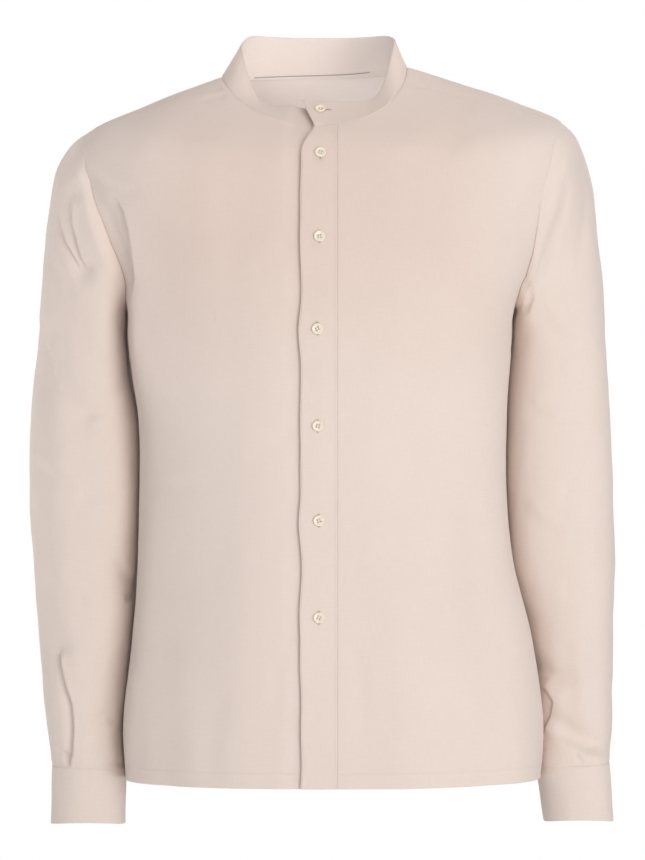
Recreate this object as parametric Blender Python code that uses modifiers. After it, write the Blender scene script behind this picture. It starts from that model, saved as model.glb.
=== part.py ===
"""A mandarin collar shirt, filled out as it is worn: metres, +Z up, its front facing -Y.

The origin is in the middle of the neck at the height of the shoulder's neck point, and +X is the wearer's
left. Each piece that is cut and sewn is one object: an open sheet lofted through the sections in the tables
below, given its thickness by Solidify. The tables are in millimetres, and their readers turn them to metres.
"""

import math
from typing import NamedTuple

import bmesh
import bpy
from mathutils import Vector

COLLECTION = "mandarin_collar_shirt"
CUTTERS = "cutters"

MM = 0.001

# Cloth
CLOTH = 1.2 * MM  # one layer, with its turnings
BAND = 1.8 * MM  # two layers and interlining: collar, cuffs and placket
STRIP = 1.0 * MM  # the strips over the wrist slits
SEAM_GAP = 0.3 * MM
BEND_GAP = 0.3 * MM  # more room at a seam where the wall bends over it
SLEEVE_FACE = CLOTH  # the tables give the sleeves' insides; their faces are this far out
ARMPIT_GAP = 1.2 * MM  # a sleeve starts this much further off at the armpit
LAP_GAP = 0.4 * MM  # between a strip and the sleeve that it lies on
PLACKET_PROUD = 0.4 * MM  # the placket's face stands this far off the front
LAP_DROP = 2.4 * MM  # an under end dips this far below the end that covers it
LAP_RAMP = 26 * MM  # the length over which it dips
UNDER_LIFT = 1.4 * MM  # the band's under end clears the neck edge by this much more

# Centre front
PLACKET_HALF = 17.5 * MM
PLACKET_TOP_EDGE = -5.0 * MM  # the placket's free edge runs in to here at the collar seam
PLACKET_TURN_IN = 3.5  # levels below the neck over which it runs in
UNDER_EDGE = 15.0 * MM  # the right front's hidden edge
UNDER_FLAT = -22.0 * MM  # it lies flat under the placket as far as here

# Armhole, yoke and collar
ARMHOLE_TOP_SHIFT = -26 * MM  # its highest point is this far in front of the shoulder ridge
ARMHOLE_FRONT = 54 * MM
ARMHOLE_BACK = 98 * MM
YOKE_SEAM_AT_NECK = -36 * MM
YOKE_STEP = 6  # the back yoke seam meets the armhole at this step of the ten from armpit to top
COLLAR_UNDER_END = 12 * MM
COLLAR_OVER_END = (-5.0 * MM, -17.5 * MM)  # at the seam and at the top edge
COLLAR_UNDER_DROP = -4 * MM  # the under end's top edge sits lower

# Cuffs, in turns round the wrist counted from the side next to the body
CUFF_UNDER_END = 0.62
CUFF_OVER_END = 0.70
CUFF_RAMP = 0.10

# Buttons
BUTTON_RADIUS = 5.4 * MM
BUTTON_THICK = 2.2 * MM
BUTTON_DISH = 0.7 * MM
BUTTON_RIM = 1.3 * MM
HOLE_RADIUS = 0.75 * MM
HOLE_PITCH = 2.5 * MM
BUTTON_PLACES = (  # (x, z) in millimetres, from the collar down
    (1.5, -37),
    (1.5, -83),
    (0.5, -165),
    (-1.5, -254),
    (-1, -348),
    (0, -440),
    (0, -534),
)
CUFF_BUTTON_RADIUS = 5.0 * MM
CUFF_BUTTON_SEAT = 0.4 * MM  # over the round of the cuff
BUTTON_SIDES = 16
HOLE_SIDES = 4

# Grid
FRONT_COLUMNS = 13
BACK_COLUMNS = 28
LOWER_ROWS = 14
ARMHOLE_STEPS = 10
SHOULDER_ROWS = 5
SLEEVE_ROWS = 21
SLEEVE_COLUMNS = 2 * ARMHOLE_STEPS


class Ring(NamedTuple):
    """A section round the body: its reach to each side, front and back, and its height there."""

    x_minus: float
    x_plus: float
    z_minus: float
    z_plus: float
    y_front: float
    z_front: float
    y_back: float
    z_back: float
    squareness: float


class Tube(NamedTuple):
    """A section of a sleeve: its two ends seen from the front, its middle's depth and its half depth."""

    x_outer: float
    z_outer: float
    x_inner: float
    z_inner: float
    y_middle: float
    half_depth: float


class Fold(NamedTuple):
    """A soft trough, or a ridge where its depth is negative, along a line seen from the front."""

    piece: str
    line: tuple
    width: float
    depth: float


#                      x_minus x_plus z_minus z_plus y_front z_front y_back z_back squareness
BODY = {
    "hem": Ring(-193, 221, -700, -699, -121, -700, 124, -706, 2.3),
    "hip": Ring(-195, 224, -640, -640, -122, -640, 127, -642, 2.3),
    "seat": Ring(-186, 213, -560, -560, -120, -560, 126, -561, 2.3),
    "low_waist": Ring(-180.5, 194, -485, -485, -117, -485, 122, -485, 2.3),
    "waist": Ring(-179, 187, -410, -410, -116, -410, 119, -410, 2.3),
    "ribs": Ring(-180, 187.5, -348, -348, -119, -348, 120, -348, 2.3),
    "under_arm": Ring(-187, 190, -300, -300, -124.5, -300, 124, -300, 2.35),
    "chest": Ring(-192, 194, -260, -260, -129, -260, 128, -260, 2.4),
    "armpit": Ring(-193, 199, -228, -228, -131, -228, 130, -228, 2.5),
    "armhole_low": Ring(-206, 214, -192, -192, -131, -193, 132, -190, 2.6),
    "armhole_middle": Ring(-227, 228, -154, -154, -127, -156, 132, -151, 2.65),
    "armhole_high": Ring(-249, 242, -115, -115, -120, -122, 128, -114, 2.65),
    "shoulder_low": Ring(-254, 252, -78, -74, -114, -97, 119, -84, 2.6),
    "shoulder_tip": Ring(-227, 242, -52, -45, -107, -80, 108, -60, 2.5),
    "shoulder": Ring(-186, 198, -34, -25, -99.5, -69, 95, -38, 2.4),
    "neck_side": Ring(-141, 146, -15, -7, -92, -61, 81, -17, 2.3),
    "neck": Ring(-97, 88, 1, 11, -84, -54, 66, 6, 2.2),
}
COLLAR_TOP = Ring(-78, 76, 30, 36, -52, -27.5, 61, 46, 2.2)
SADDLE_MINUS, SADDLE_PLUS = 1.4, 1.1  # how late a ring leaves its side height, on the -X and the +X side
COLLAR_FRONT_REACH = (0.15, 0.85)  # between these the collar's top edge falls from its side to its front
COLLAR_BACK_REACH = (0.0, 0.45)

#                      x_outer z_outer x_inner z_inner y_middle half_depth
SLEEVE_RIGHT = {
    "armhole": Tube(-227, -52, -193, -228, 0, 76),
    "cap_top": Tube(-247, -66, -194.5, -235, 8, 79),
    "cap_middle": Tube(-264, -92, -195, -244, 18, 80),
    "cap_base": Tube(-272, -132, -194, -256, 28, 79),
    "upper_arm": Tube(-278, -190, -190.5, -274, 36, 76),
    "biceps": Tube(-283, -252, -186.0, -305, 42, 71),
    "above_elbow": Tube(-289, -322, -179.5, -350, 41, 66),
    "elbow": Tube(-291.5, -400, -177.5, -410, 35, 62),
    "forearm": Tube(-288.5, -478, -181.5, -480, 36, 58),
    "middle_forearm": Tube(-283, -548, -187, -548, 35, 54),
    "low_forearm": Tube(-278, -604, -190.5, -604, 32, 49),
    "wrist": Tube(-272.5, -652, -196, -652, 29, 43.5),
    "cuff_seam": Tube(-268, -689, -194.5, -691, 27, 38.5),
}
SLEEVE_LEFT = {
    "armhole": Tube(242, -45, 199, -228, 0, 76),
    "cap_top": Tube(258, -57, 200.0, -235, 11, 79),
    "cap_middle": Tube(269, -80, 198, -243, 26, 79),
    "cap_base": Tube(278, -122, 194.5, -254, 40, 78),
    "upper_arm": Tube(284.5, -184, 191.5, -273, 49, 75),
    "biceps": Tube(289, -250, 188, -305, 48, 70),
    "above_elbow": Tube(292.5, -320, 185.5, -350, 43, 66),
    "elbow": Tube(296, -400, 185, -410, 40, 62),
    "forearm": Tube(297.5, -478, 193, -480, 43, 58),
    "middle_forearm": Tube(298, -548, 208, -548, 53, 54),
    "low_forearm": Tube(296, -604, 215, -604, 60, 49),
    "wrist": Tube(294, -652, 218, -652, 60, 43.5),
    "cuff_seam": Tube(290, -689, 219, -691, 54, 38.5),
}
CUFF_RIGHT = (SLEEVE_RIGHT["cuff_seam"], Tube(-269.5, -744, -195.5, -744, 27, 37.5))
CUFF_LEFT = (SLEEVE_LEFT["cuff_seam"], Tube(294, -744, 226, -744, 50, 36))
RESIDUAL_SECTIONS = 5  # the sleeve takes this many sections to lose the armhole's own shape

#            piece, line of (x, z) points, width, depth
FOLDS = (
    Fold("front", ((-224, -112), (-204, -134), (-191, -165), (-182, -204)), 15, 4.5),
    Fold("front", ((212, -196), (196, -236), (186, -262)), 12, 3.0),
    Fold("front", ((-152, -560), (-148, -640), (-150, -704)), 16, 3.5),
    Fold("front", ((150, -430), (164, -560), (172, -700)), 22, 4.0),
    Fold("front", ((78, -520), (84, -620), (80, -704)), 24, -3.0),
    Fold("back", ((-204, -140), (-190, -170), (-178, -224)), 15, 5.0),
    Fold("back", ((206, -140), (192, -176), (184, -232)), 15, 4.5),
    Fold("back", ((-60, -160), (-72, -330), (-64, -560)), 24, 4.0),
    Fold("back", ((66, -165), (80, -360), (92, -700)), 26, 4.0),
    Fold("sleeve_right", ((-256, -75), (-262, -112), (-256, -150), (-237, -196)), 12, -3.5),
    Fold("sleeve_right", ((-244, -120), (-238, -172), (-229, -192)), 11, -3.0),
    Fold("sleeve_right", ((-276, -262), (-262, -305), (-236, -340)), 16, -3.5),
    Fold("sleeve_right", ((-212, -478), (-190, -508)), 14, -3.0),
    Fold("sleeve_right", ((-259, -569), (-247, -622), (-245, -656), (-250, -690)), 11, -4.0),
    Fold("sleeve_left", ((262, -78), (270, -120), (262, -178)), 13, -3.0),
    Fold("sleeve_left", ((214, -590), (238, -602)), 12, -4.0),
    Fold("sleeve_left", ((233, -640), (256, -655), (288, -670)), 11, -4.0),
)


def spline(values, at):
    """Catmull-Rom through equally spaced values, at a place counted in steps from the first."""
    first = min(max(math.floor(at), 0), len(values) - 2)
    t = at - first
    before, start, end, after = (values[min(max(first + k, 0), len(values) - 1)] for k in (-1, 0, 1, 2))
    bend = 2 * before - 5 * start + 4 * end - after
    twist = 3 * (start - end) + after - before
    return 0.5 * (2 * start + (end - before) * t + bend * t**2 + twist * t**3)


def section(table, at):
    """The table's section at a place between its rows, every column splined."""
    rows = list(table.values())
    return type(rows[0])(*(spline(column, at) for column in zip(*rows)))


def smooth(low, high, value):
    t = min(max((value - low) / (high - low), 0), 1)
    return t * t * (3 - 2 * t)


def mix(a, b, share):
    return a + (b - a) * share


LEVEL = {name: index for index, name in enumerate(BODY)}
HEM, ARMPIT, TIP, NECK = (LEVEL[name] for name in ("hem", "armpit", "shoulder_tip", "neck"))


# ---- The body's surface, by level (a row of BODY) and turn (0 at +X, rising towards the back) ----


def ring_plan(ring, turn):
    """Where a turn lies on a ring, seen from above, in metres."""
    c, s = math.cos(turn), math.sin(turn)
    power = 2 / ring.squareness
    x = (ring.x_plus if c > 0 else ring.x_minus) * abs(c) ** power
    y = (ring.y_back if s > 0 else ring.y_front) * abs(s) ** power
    return x * MM, y * MM


def body_surface(level, turn):
    ring = section(BODY, level)
    x, y = ring_plan(ring, turn)
    side, power = (ring.z_plus, SADDLE_PLUS) if math.cos(turn) > 0 else (ring.z_minus, SADDLE_MINUS)
    end = ring.z_back if math.sin(turn) > 0 else ring.z_front
    return Vector((x, y, mix(side, end, abs(math.sin(turn)) ** power) * MM))


def turn_at_x(level, x):
    """The turn on the front where a ring reaches x."""
    ring = section(BODY, level)
    reach = (ring.x_plus if x > 0 else -ring.x_minus) * MM
    return -math.acos(math.copysign((abs(x) / reach) ** (ring.squareness / 2), x))


def turn_at_y(level, y, plus_x):
    """The turn on one side where a ring reaches y, negative on the front."""
    ring = section(BODY, level)
    reach = (ring.y_back if y > 0 else -ring.y_front) * MM
    turn = math.copysign(math.asin((abs(y) / reach) ** (ring.squareness / 2)), y)
    return turn if plus_x else math.pi - turn


def armhole_depth(level, back):
    """How far back the armhole's edge lies at a level."""
    rise = (level - ARMPIT) / (TIP - ARMPIT)
    swing = 2 * math.sqrt(max(rise * (1 - rise), 0))
    return rise * ARMHOLE_TOP_SHIFT + swing * (ARMHOLE_BACK if back else -ARMHOLE_FRONT)


def edge_depth(level, back):
    """How far back a panel's outer edge lies: side seam, then armhole, then the front yoke seam."""
    if level <= ARMPIT:
        return 0.0
    if level < TIP:
        return armhole_depth(level, back)
    return mix(ARMHOLE_TOP_SHIFT, YOKE_SEAM_AT_NECK, (level - TIP) / (NECK - TIP))


def armhole_level(step):
    """The level of a step round the armhole, from the armpit at 0 to its top at ARMHOLE_STEPS."""
    return mix(ARMPIT, TIP, (1 - math.cos(math.pi * step / ARMHOLE_STEPS)) / 2)


def distance_to_line(x, z, line):
    nearest = math.inf
    for (x0, z0), (x1, z1) in zip(line, line[1:]):
        run = Vector((x1 - x0, z1 - z0))
        share = min(max(Vector((x - x0, z - z0)).dot(run) / run.length_squared, 0), 1)
        nearest = min(nearest, math.hypot(x - x0 - run.x * share, z - z0 - run.y * share))
    return nearest


def fold_offset(piece, point):
    """How far the folds of a piece move a point out."""
    x, z = point.x / MM, point.z / MM
    offset = 0.0
    for fold in FOLDS:
        if fold.piece == piece:
            offset -= fold.depth * math.exp(-((distance_to_line(x, z, fold.line) / fold.width) ** 2))
    return offset * MM


def surface_point(surface, first, second, offset, outwards=1):
    """A point of a surface, moved out along its normal; offset is a distance or a function of the point."""
    step = 0.01
    point = surface(first, second)
    across = surface(first, second + step) - surface(first, second - step)
    along = surface(first + step, second) - surface(first - step, second)
    normal = across.cross(along).normalized() * outwards
    distance = offset(point) if callable(offset) else offset
    return point + normal * distance


def body_point(level, turn, out=0.0):
    piece = "back" if math.sin(turn) > 0 else "front"
    return surface_point(body_surface, level, turn, lambda p: out + fold_offset(piece, p))


# ---- The sleeves' surface, by row and turn (0 next to the body, a quarter at the front) ----


def armhole_point(turn, plus_x):
    """The armhole seam, in turns from the armpit by the front to its top and down the back."""
    turn %= 1
    level = armhole_level(2 * ARMHOLE_STEPS * min(turn, 1 - turn))
    depth = armhole_depth(level, back=turn > 0.5)
    return body_surface(level, turn_at_y(level, depth, plus_x))


def tube_surface(tube, turn):
    c, s = math.cos(2 * math.pi * turn), math.sin(2 * math.pi * turn)
    x = mix(tube.x_outer, tube.x_inner, (1 + c) / 2)
    z = mix(tube.z_outer, tube.z_inner, (1 + c) / 2)
    return Vector((x, tube.y_middle - tube.half_depth * s, z)) * MM


def sleeve_surface(table, plus_x):
    """The surface of one sleeve, as a function of its row in the table and its turn."""
    start = section(table, 0)

    def at(row, turn):
        fade = max(1 - row / RESIDUAL_SECTIONS, 0) ** 2
        residual = armhole_point(turn, plus_x) - tube_surface(start, turn)
        return tube_surface(section(table, row), turn) + residual * fade

    return at


def facing(plus_x):
    """The sign that turns the normals of a sleeve's or a cuff's surface outwards."""
    return -1 if plus_x else 1


def sleeve_point(table, plus_x, row, turn, out=0.0):
    piece = "sleeve_left" if plus_x else "sleeve_right"
    front = turn % 1 < 0.5
    offset = (lambda p: out + fold_offset(piece, p)) if front else out
    return surface_point(sleeve_surface(table, plus_x), row, turn, offset, facing(plus_x))


# ---- Sheets ----


def drawn(edge, inner, distance):
    """An edge moved towards the line of points beside it."""
    return [a + (b - a).normalized() * distance for a, b in zip(edge, inner)]


def inset(rows, half_gap=SEAM_GAP / 2):
    """Draws a sheet's edges in by half a seam gap."""

    def ends(lines):
        return [drawn(lines[0], lines[1], half_gap), *lines[1:-1], drawn(lines[-1], lines[-2], half_gap)]

    return [list(row) for row in zip(*ends(list(zip(*ends(rows)))))]


def sheet(name, rows, thickness, material, wrap=False, flip=False):
    """A sheet through rows of points, its face outwards, with its thickness added on the inside."""
    mesh = bmesh.new()
    grid = [[mesh.verts.new(point) for point in row] for row in rows]
    for low, high in zip(grid, grid[1:]):
        for i in range(len(low) if wrap else len(low) - 1):
            k = (i + 1) % len(low)
            corners = (low[i], low[k], high[k], high[i])
            mesh.faces.new(reversed(corners) if flip else corners)
    data = bpy.data.meshes.new(name)
    mesh.to_mesh(data)
    mesh.free()
    data.shade_smooth()
    piece = place(name, data, material)
    wall = piece.modifiers.new("Thickness", "SOLIDIFY")
    wall.thickness = thickness
    wall.offset = -1
    return piece


def place(name, data, material):
    piece = bpy.data.objects.new(name, data)
    piece.data.materials.append(material)
    bpy.data.collections[COLLECTION].objects.link(piece)
    return piece


def even(start, end, count):
    return [mix(start, end, i / count) for i in range(count + 1)]


# ---- Body panels ----


def lower_levels():
    return even(HEM, ARMPIT, LOWER_ROWS)


def shoulder_levels():
    return even(TIP, NECK, SHOULDER_ROWS)[1:]


def front_levels():
    return lower_levels() + [armhole_level(k) for k in range(1, ARMHOLE_STEPS + 1)] + shoulder_levels()


def build_front_left(material):
    """The wearer's left front, on the +X side, from the placket's seam to the side."""
    rows = []
    for level in front_levels():
        outer = turn_at_y(level, edge_depth(level, back=False), plus_x=True)
        turns = even(turn_at_x(level, PLACKET_HALF), outer, FRONT_COLUMNS)
        rows.append([body_point(level, turn) for turn in turns])
    sheet("front_left", inset(rows), CLOTH, material)


def under_lap(point):
    """How far the right front sinks to pass under the placket."""
    return -LAP_DROP * smooth(UNDER_FLAT - LAP_RAMP, UNDER_FLAT, point.x)


def build_front_right(material):
    """The wearer's right front, on the -X side, running on under the placket."""
    rows = []
    for level in front_levels():
        outer = turn_at_y(level, edge_depth(level, back=False), plus_x=False) - 2 * math.pi
        turns = even(outer, turn_at_x(level, UNDER_FLAT), FRONT_COLUMNS)
        turns.append(turn_at_x(level, UNDER_EDGE))
        rows.append([body_point(level, turn, under_lap(body_surface(level, turn))) for turn in turns])
    sheet("front_right", inset(rows), CLOTH, material)


def placket_edge(level):
    """The placket's free edge, which runs in towards the middle at the collar seam."""
    return mix(-PLACKET_HALF, PLACKET_TOP_EDGE, smooth(0, 1, 1 - (NECK - level) / PLACKET_TURN_IN))


def build_placket(material):
    rows = []
    for level in front_levels():
        edges = (placket_edge(level), (placket_edge(level) + PLACKET_HALF) / 2, PLACKET_HALF)
        rows.append([body_point(level, turn_at_x(level, x), PLACKET_PROUD) for x in edges])
    sheet("placket_left", inset(rows), BAND, material)


def build_back(material):
    levels = lower_levels() + [armhole_level(k) for k in range(1, YOKE_STEP + 1)]
    rows = []
    for level in levels:
        ends = [turn_at_y(level, edge_depth(level, back=True), plus_x) for plus_x in (True, False)]
        rows.append([body_point(level, turn) for turn in even(*ends, BACK_COLUMNS)])
    rows[-1] = drawn(rows[-1], rows[-2], BEND_GAP)
    sheet("back", inset(rows), CLOTH, material)


def build_yoke(material):
    """The yoke, from the back seam over both shoulders to the front seams."""
    levels = [armhole_level(k) for k in range(YOKE_STEP, ARMHOLE_STEPS + 1)] + shoulder_levels()
    rows = []
    for level in levels:
        ends = [turn_at_y(level, edge_depth(level, back=True), plus_x) for plus_x in (True, False)]
        rows.append([body_point(level, turn) for turn in even(*ends, BACK_COLUMNS)])
    sheet("yoke", inset(rows), CLOTH, material)


# ---- Collar ----


def collar_top(turn):
    """The band's top edge: it drops early at the front and rises early at the back."""
    x, y = ring_plan(COLLAR_TOP, turn)
    side = COLLAR_TOP.z_plus if math.cos(turn) > 0 else COLLAR_TOP.z_minus
    lean = abs(math.sin(turn))
    if math.sin(turn) > 0:
        return Vector((x, y, mix(side, COLLAR_TOP.z_back, smooth(*COLLAR_BACK_REACH, lean)) * MM))
    height = mix(side, COLLAR_TOP.z_front, smooth(*COLLAR_FRONT_REACH, lean)) * MM
    under = turn > -math.pi
    return Vector((x, y, height + (COLLAR_UNDER_DROP * smooth(0.3, 0.8, lean) if under else 0)))


def collar_surface(height, turn):
    return body_surface(NECK, turn).lerp(collar_top(turn), height)


def neck_turns():
    """The turns of the panels' own points round the neck, from the over front to the under front."""
    right = turn_at_y(NECK, YOKE_SEAM_AT_NECK, plus_x=True)
    left = turn_at_y(NECK, YOKE_SEAM_AT_NECK, plus_x=False)
    over = even(turn_at_x(NECK, PLACKET_HALF), right, FRONT_COLUMNS)
    yoke = even(right, left, BACK_COLUMNS)
    under = even(left, turn_at_x(NECK, UNDER_FLAT) + 2 * math.pi, FRONT_COLUMNS)
    return [turn - 2 * math.pi for turn in over + yoke[1:] + under[1:]]


def under_share(turn):
    """How far into the lap a turn of the band's under end lies, from 0 to 1."""
    return smooth(UNDER_FLAT - LAP_RAMP, UNDER_FLAT, body_surface(NECK, turn).x) if turn > -math.pi else 0.0


def build_collar(material):
    """The band, from its over end round the wearer's left, the back and the right to its under end."""
    rows = []
    for height in (0.0, 0.35, 0.7, 1.0):
        reach = mix(-BODY["neck"].x_minus, -COLLAR_TOP.x_minus, height) * MM
        power = BODY["neck"].squareness / 2
        over = -math.acos(-((-mix(*COLLAR_OVER_END, height) / reach) ** power)) - 2 * math.pi
        under = -math.acos((COLLAR_UNDER_END / reach) ** power)
        turns = [over, *neck_turns(), under]
        dips = [-LAP_DROP * under_share(turn) for turn in turns]
        rows.append([surface_point(collar_surface, height, turn, dip) for turn, dip in zip(turns, dips)])
    lifts = [SEAM_GAP + BEND_GAP + UNDER_LIFT * under_share(turn) for turn in turns]
    rows[0] = [a + (b - a).normalized() * lift for a, b, lift in zip(rows[0], rows[1], lifts)]
    sheet("collar_band", rows, BAND, material)


# ---- Sleeves and cuffs ----


def build_sleeve(side, table, plus_x, material):
    turns = [k / SLEEVE_COLUMNS for k in range(SLEEVE_COLUMNS)]
    rows = [
        [sleeve_point(table, plus_x, row, turn) for turn in turns]
        for row in even(0, len(table) - 1, SLEEVE_ROWS)
    ]
    away = 1 if plus_x else -1
    for k, turn in enumerate(turns):
        gap = SEAM_GAP + ARMPIT_GAP * (1 + math.cos(2 * math.pi * turn)) / 2
        rows[0][k] = rows[0][k] + Vector((gap * away, 0, 0))
    rows[-1] = drawn(rows[-1], rows[-2], SEAM_GAP)
    # drawn at its inside and thickened outwards, so it faces in until then
    sheet(f"sleeve_{side}", rows, CLOTH, material, wrap=True, flip=not plus_x)

    columns = [k / SLEEVE_COLUMNS for k in (13, 14, 15)]
    last = len(table) - 1
    step = last / SLEEVE_ROWS
    strip = [
        [sleeve_point(table, plus_x, last - step * k, turn, SLEEVE_FACE + LAP_GAP + STRIP) for turn in columns]
        for k in (5, 4, 3, 2, 1, 0)
    ]
    strip[-1] = drawn(strip[-1], strip[-2], STRIP)
    sheet(f"sleeve_placket_{side}", strip, STRIP, material, flip=plus_x)


def cuff_surface(tubes):
    def at(height, turn):
        return tube_surface(Tube(*(mix(a, b, height) for a, b in zip(*tubes))), turn)

    return at


def cuff_dip(turn):
    """How far the under end sinks: all the way at its end, and not at all past the lap."""
    return -LAP_DROP * (1 - smooth(CUFF_OVER_END + 0.01, CUFF_OVER_END + CUFF_RAMP, turn))


def cuff_turns():
    """The cuff's turns: its under end, then the sleeve's own columns as far as its over end."""
    first = math.ceil(CUFF_UNDER_END * SLEEVE_COLUMNS)
    last = round((1 + CUFF_OVER_END) * SLEEVE_COLUMNS)
    return [CUFF_UNDER_END, *(k / SLEEVE_COLUMNS for k in range(first, last + 1))]


def build_cuff(side, tubes, plus_x, material):
    rows = [
        [
            surface_point(cuff_surface(tubes), height, turn, SLEEVE_FACE + cuff_dip(turn), facing(plus_x))
            for turn in cuff_turns()
        ]
        for height in (0.0, 0.5, 1.0)
    ]
    rows[0] = drawn(rows[0], rows[1], SEAM_GAP)
    sheet(f"cuff_{side}", rows, BAND, material, flip=plus_x)


# ---- Buttons ----


def build_button(name, radius, seat, normal, material):
    """A turned button with a raised rim and four holes, its back on the seat."""
    profile = (
        (0.0, BUTTON_THICK - BUTTON_DISH),
        (radius - BUTTON_RIM, BUTTON_THICK - BUTTON_DISH),
        (radius - BUTTON_RIM / 4, BUTTON_THICK),
        (radius * 0.9, 0.0),
        (0.0, 0.0),
    )
    mesh = bmesh.new()
    outline = [mesh.verts.new((r, 0, z)) for r, z in profile]
    for a, b in zip(outline, outline[1:]):
        mesh.edges.new((a, b))
    data = bpy.data.meshes.new(name)
    mesh.to_mesh(data)
    mesh.free()
    piece = place(name, data, material)
    turned = piece.modifiers.new("Turned", "SCREW")
    turned.steps = turned.render_steps = BUTTON_SIDES
    turned.use_merge_vertices = True
    turned.merge_threshold = 0.00001
    piece.location = seat
    piece.rotation_mode = "QUATERNION"
    piece.rotation_quaternion = normal.to_track_quat("Z", "Y")
    for k in range(4):
        corner = math.pi * (k + 0.5) / 2
        cut_hole(piece, f"{name}_hole_{k}", corner)


def cut_hole(piece, name, corner):
    mesh = bmesh.new()
    bmesh.ops.create_cone(
        mesh,
        cap_ends=True,
        segments=HOLE_SIDES,
        radius1=HOLE_RADIUS,
        radius2=HOLE_RADIUS,
        depth=BUTTON_THICK * 3,
    )
    data = bpy.data.meshes.new(name)
    mesh.to_mesh(data)
    mesh.free()
    cutter = bpy.data.objects.new(name, data)
    bpy.data.collections[CUTTERS].objects.link(cutter)
    cutter.parent = piece
    reach = HOLE_PITCH / math.sqrt(2)
    cutter.location = (reach * math.cos(corner), reach * math.sin(corner), 0)
    cutter.hide_render = True
    cutter.display_type = "WIRE"
    cut = piece.modifiers.new(name, "BOOLEAN")
    cut.operation = "DIFFERENCE"
    cut.object = cutter


def level_at_height(height, x):
    """The level at which the body's front reaches a height."""
    low, high = HEM, NECK
    for _ in range(30):
        middle = (low + high) / 2
        if body_surface(middle, turn_at_x(middle, x)).z < height:
            low = middle
        else:
            high = middle
    return low


def build_front_buttons(material):
    for number, (across, height) in enumerate(BUTTON_PLACES, start=1):
        x = across * MM
        if number == 1:
            turn = turn_at_x(NECK, x) - 2 * math.pi
            foot, top = body_surface(NECK, turn).z, collar_top(turn).z
            share = (height * MM - foot) / (top - foot)
            seat = surface_point(collar_surface, share, turn, SEAM_GAP)
            ahead = surface_point(collar_surface, share, turn, 1.0)
            normal = ahead - surface_point(collar_surface, share, turn, 0.0)
        else:
            level = level_at_height(height * MM, x)
            turn = turn_at_x(level, x)
            seat = body_point(level, turn, PLACKET_PROUD + SEAM_GAP)
            normal = body_point(level, turn, 1.0) - body_point(level, turn)
        build_button(f"button_{number}", BUTTON_RADIUS, seat, normal, material)


def build_cuff_button(side, tubes, plus_x, material):
    turn = (CUFF_UNDER_END + CUFF_OVER_END) / 2
    surface, outwards = cuff_surface(tubes), facing(plus_x)
    seat = surface_point(surface, 0.5, turn, SLEEVE_FACE + CUFF_BUTTON_SEAT, outwards)
    normal = surface_point(surface, 0.5, turn, 1.0, outwards) - surface_point(surface, 0.5, turn, 0.0, outwards)
    build_button(f"cuff_button_{side}", CUFF_BUTTON_RADIUS, seat, normal, material)


# ---- The whole shirt ----


def clear_scene():
    for old in list(bpy.data.objects):
        bpy.data.objects.remove(old)


def make_material(name, color, roughness):
    material = bpy.data.materials.new(name)
    material.use_nodes = True
    shader = material.node_tree.nodes["Principled BSDF"]
    shader.inputs["Base Color"].default_value = (*color, 1.0)
    shader.inputs["Roughness"].default_value = roughness
    shader.inputs["Metallic"].default_value = 0.0
    return material


def main():
    clear_scene()
    for name in (COLLECTION, CUTTERS):
        bpy.context.scene.collection.children.link(bpy.data.collections.new(name))
    cloth = make_material("shirt_cloth", (0.80, 0.68, 0.60), 0.85)
    shell = make_material("button_shell", (0.83, 0.75, 0.64), 0.35)
    build_front_right(cloth)
    build_front_left(cloth)
    build_placket(cloth)
    build_back(cloth)
    build_yoke(cloth)
    build_collar(cloth)
    # The wearer's left is on the +X side.
    for side, table, tubes in (
        ("left", SLEEVE_LEFT, CUFF_LEFT),
        ("right", SLEEVE_RIGHT, CUFF_RIGHT),
    ):
        plus_x = side == "left"
        build_sleeve(side, table, plus_x, cloth)
        build_cuff(side, tubes, plus_x, cloth)
        build_cuff_button(side, tubes, plus_x, shell)
    build_front_buttons(shell)


main()
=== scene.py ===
"""The mandarin collar shirt, dressed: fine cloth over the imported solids, sewing, buttons, studio and camera.

Everything is in metres in the model's own frame: +Z up, the front facing -Y, +X to the wearer's left. The
tables are in millimetres. Each panel is a thin shell through the same sections as its solid, closer spaced,
with its creases, its turned edges and its seams added.
"""

import logging
import math
from collections.abc import Callable, Sequence
from dataclasses import dataclass, field
from enum import Enum
from typing import ClassVar

import bpy
import numpy as np
from mathutils import Matrix, Vector


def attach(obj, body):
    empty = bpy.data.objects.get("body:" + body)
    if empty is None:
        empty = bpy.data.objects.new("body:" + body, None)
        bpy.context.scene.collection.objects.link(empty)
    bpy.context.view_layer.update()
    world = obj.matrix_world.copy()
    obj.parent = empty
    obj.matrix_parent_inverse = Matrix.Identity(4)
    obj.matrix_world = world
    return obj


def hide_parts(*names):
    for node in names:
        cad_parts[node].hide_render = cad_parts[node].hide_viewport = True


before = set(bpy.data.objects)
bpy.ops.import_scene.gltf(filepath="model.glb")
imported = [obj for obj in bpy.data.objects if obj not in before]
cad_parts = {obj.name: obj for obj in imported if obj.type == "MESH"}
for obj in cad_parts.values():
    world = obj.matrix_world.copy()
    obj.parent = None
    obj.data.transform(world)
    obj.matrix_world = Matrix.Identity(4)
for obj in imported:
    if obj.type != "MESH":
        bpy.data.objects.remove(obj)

MM = 0.001
TURN = 2 * math.pi
LOG = logging.getLogger("shirt")
Array = np.ndarray
Pair = tuple[float, float]
Line = tuple[Pair, ...]
Point = tuple[float, float, float]
Mesh = tuple[Array, Array]  # vertices and faces
Spot = tuple[Array, Array]  # both parameters of one place on a cloth
Edge = Callable[[Array], Array]
Piece = bpy.types.Object
Material = bpy.types.Material
Section = tuple[float, ...]

# ---- Sections, in millimetres ----

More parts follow.
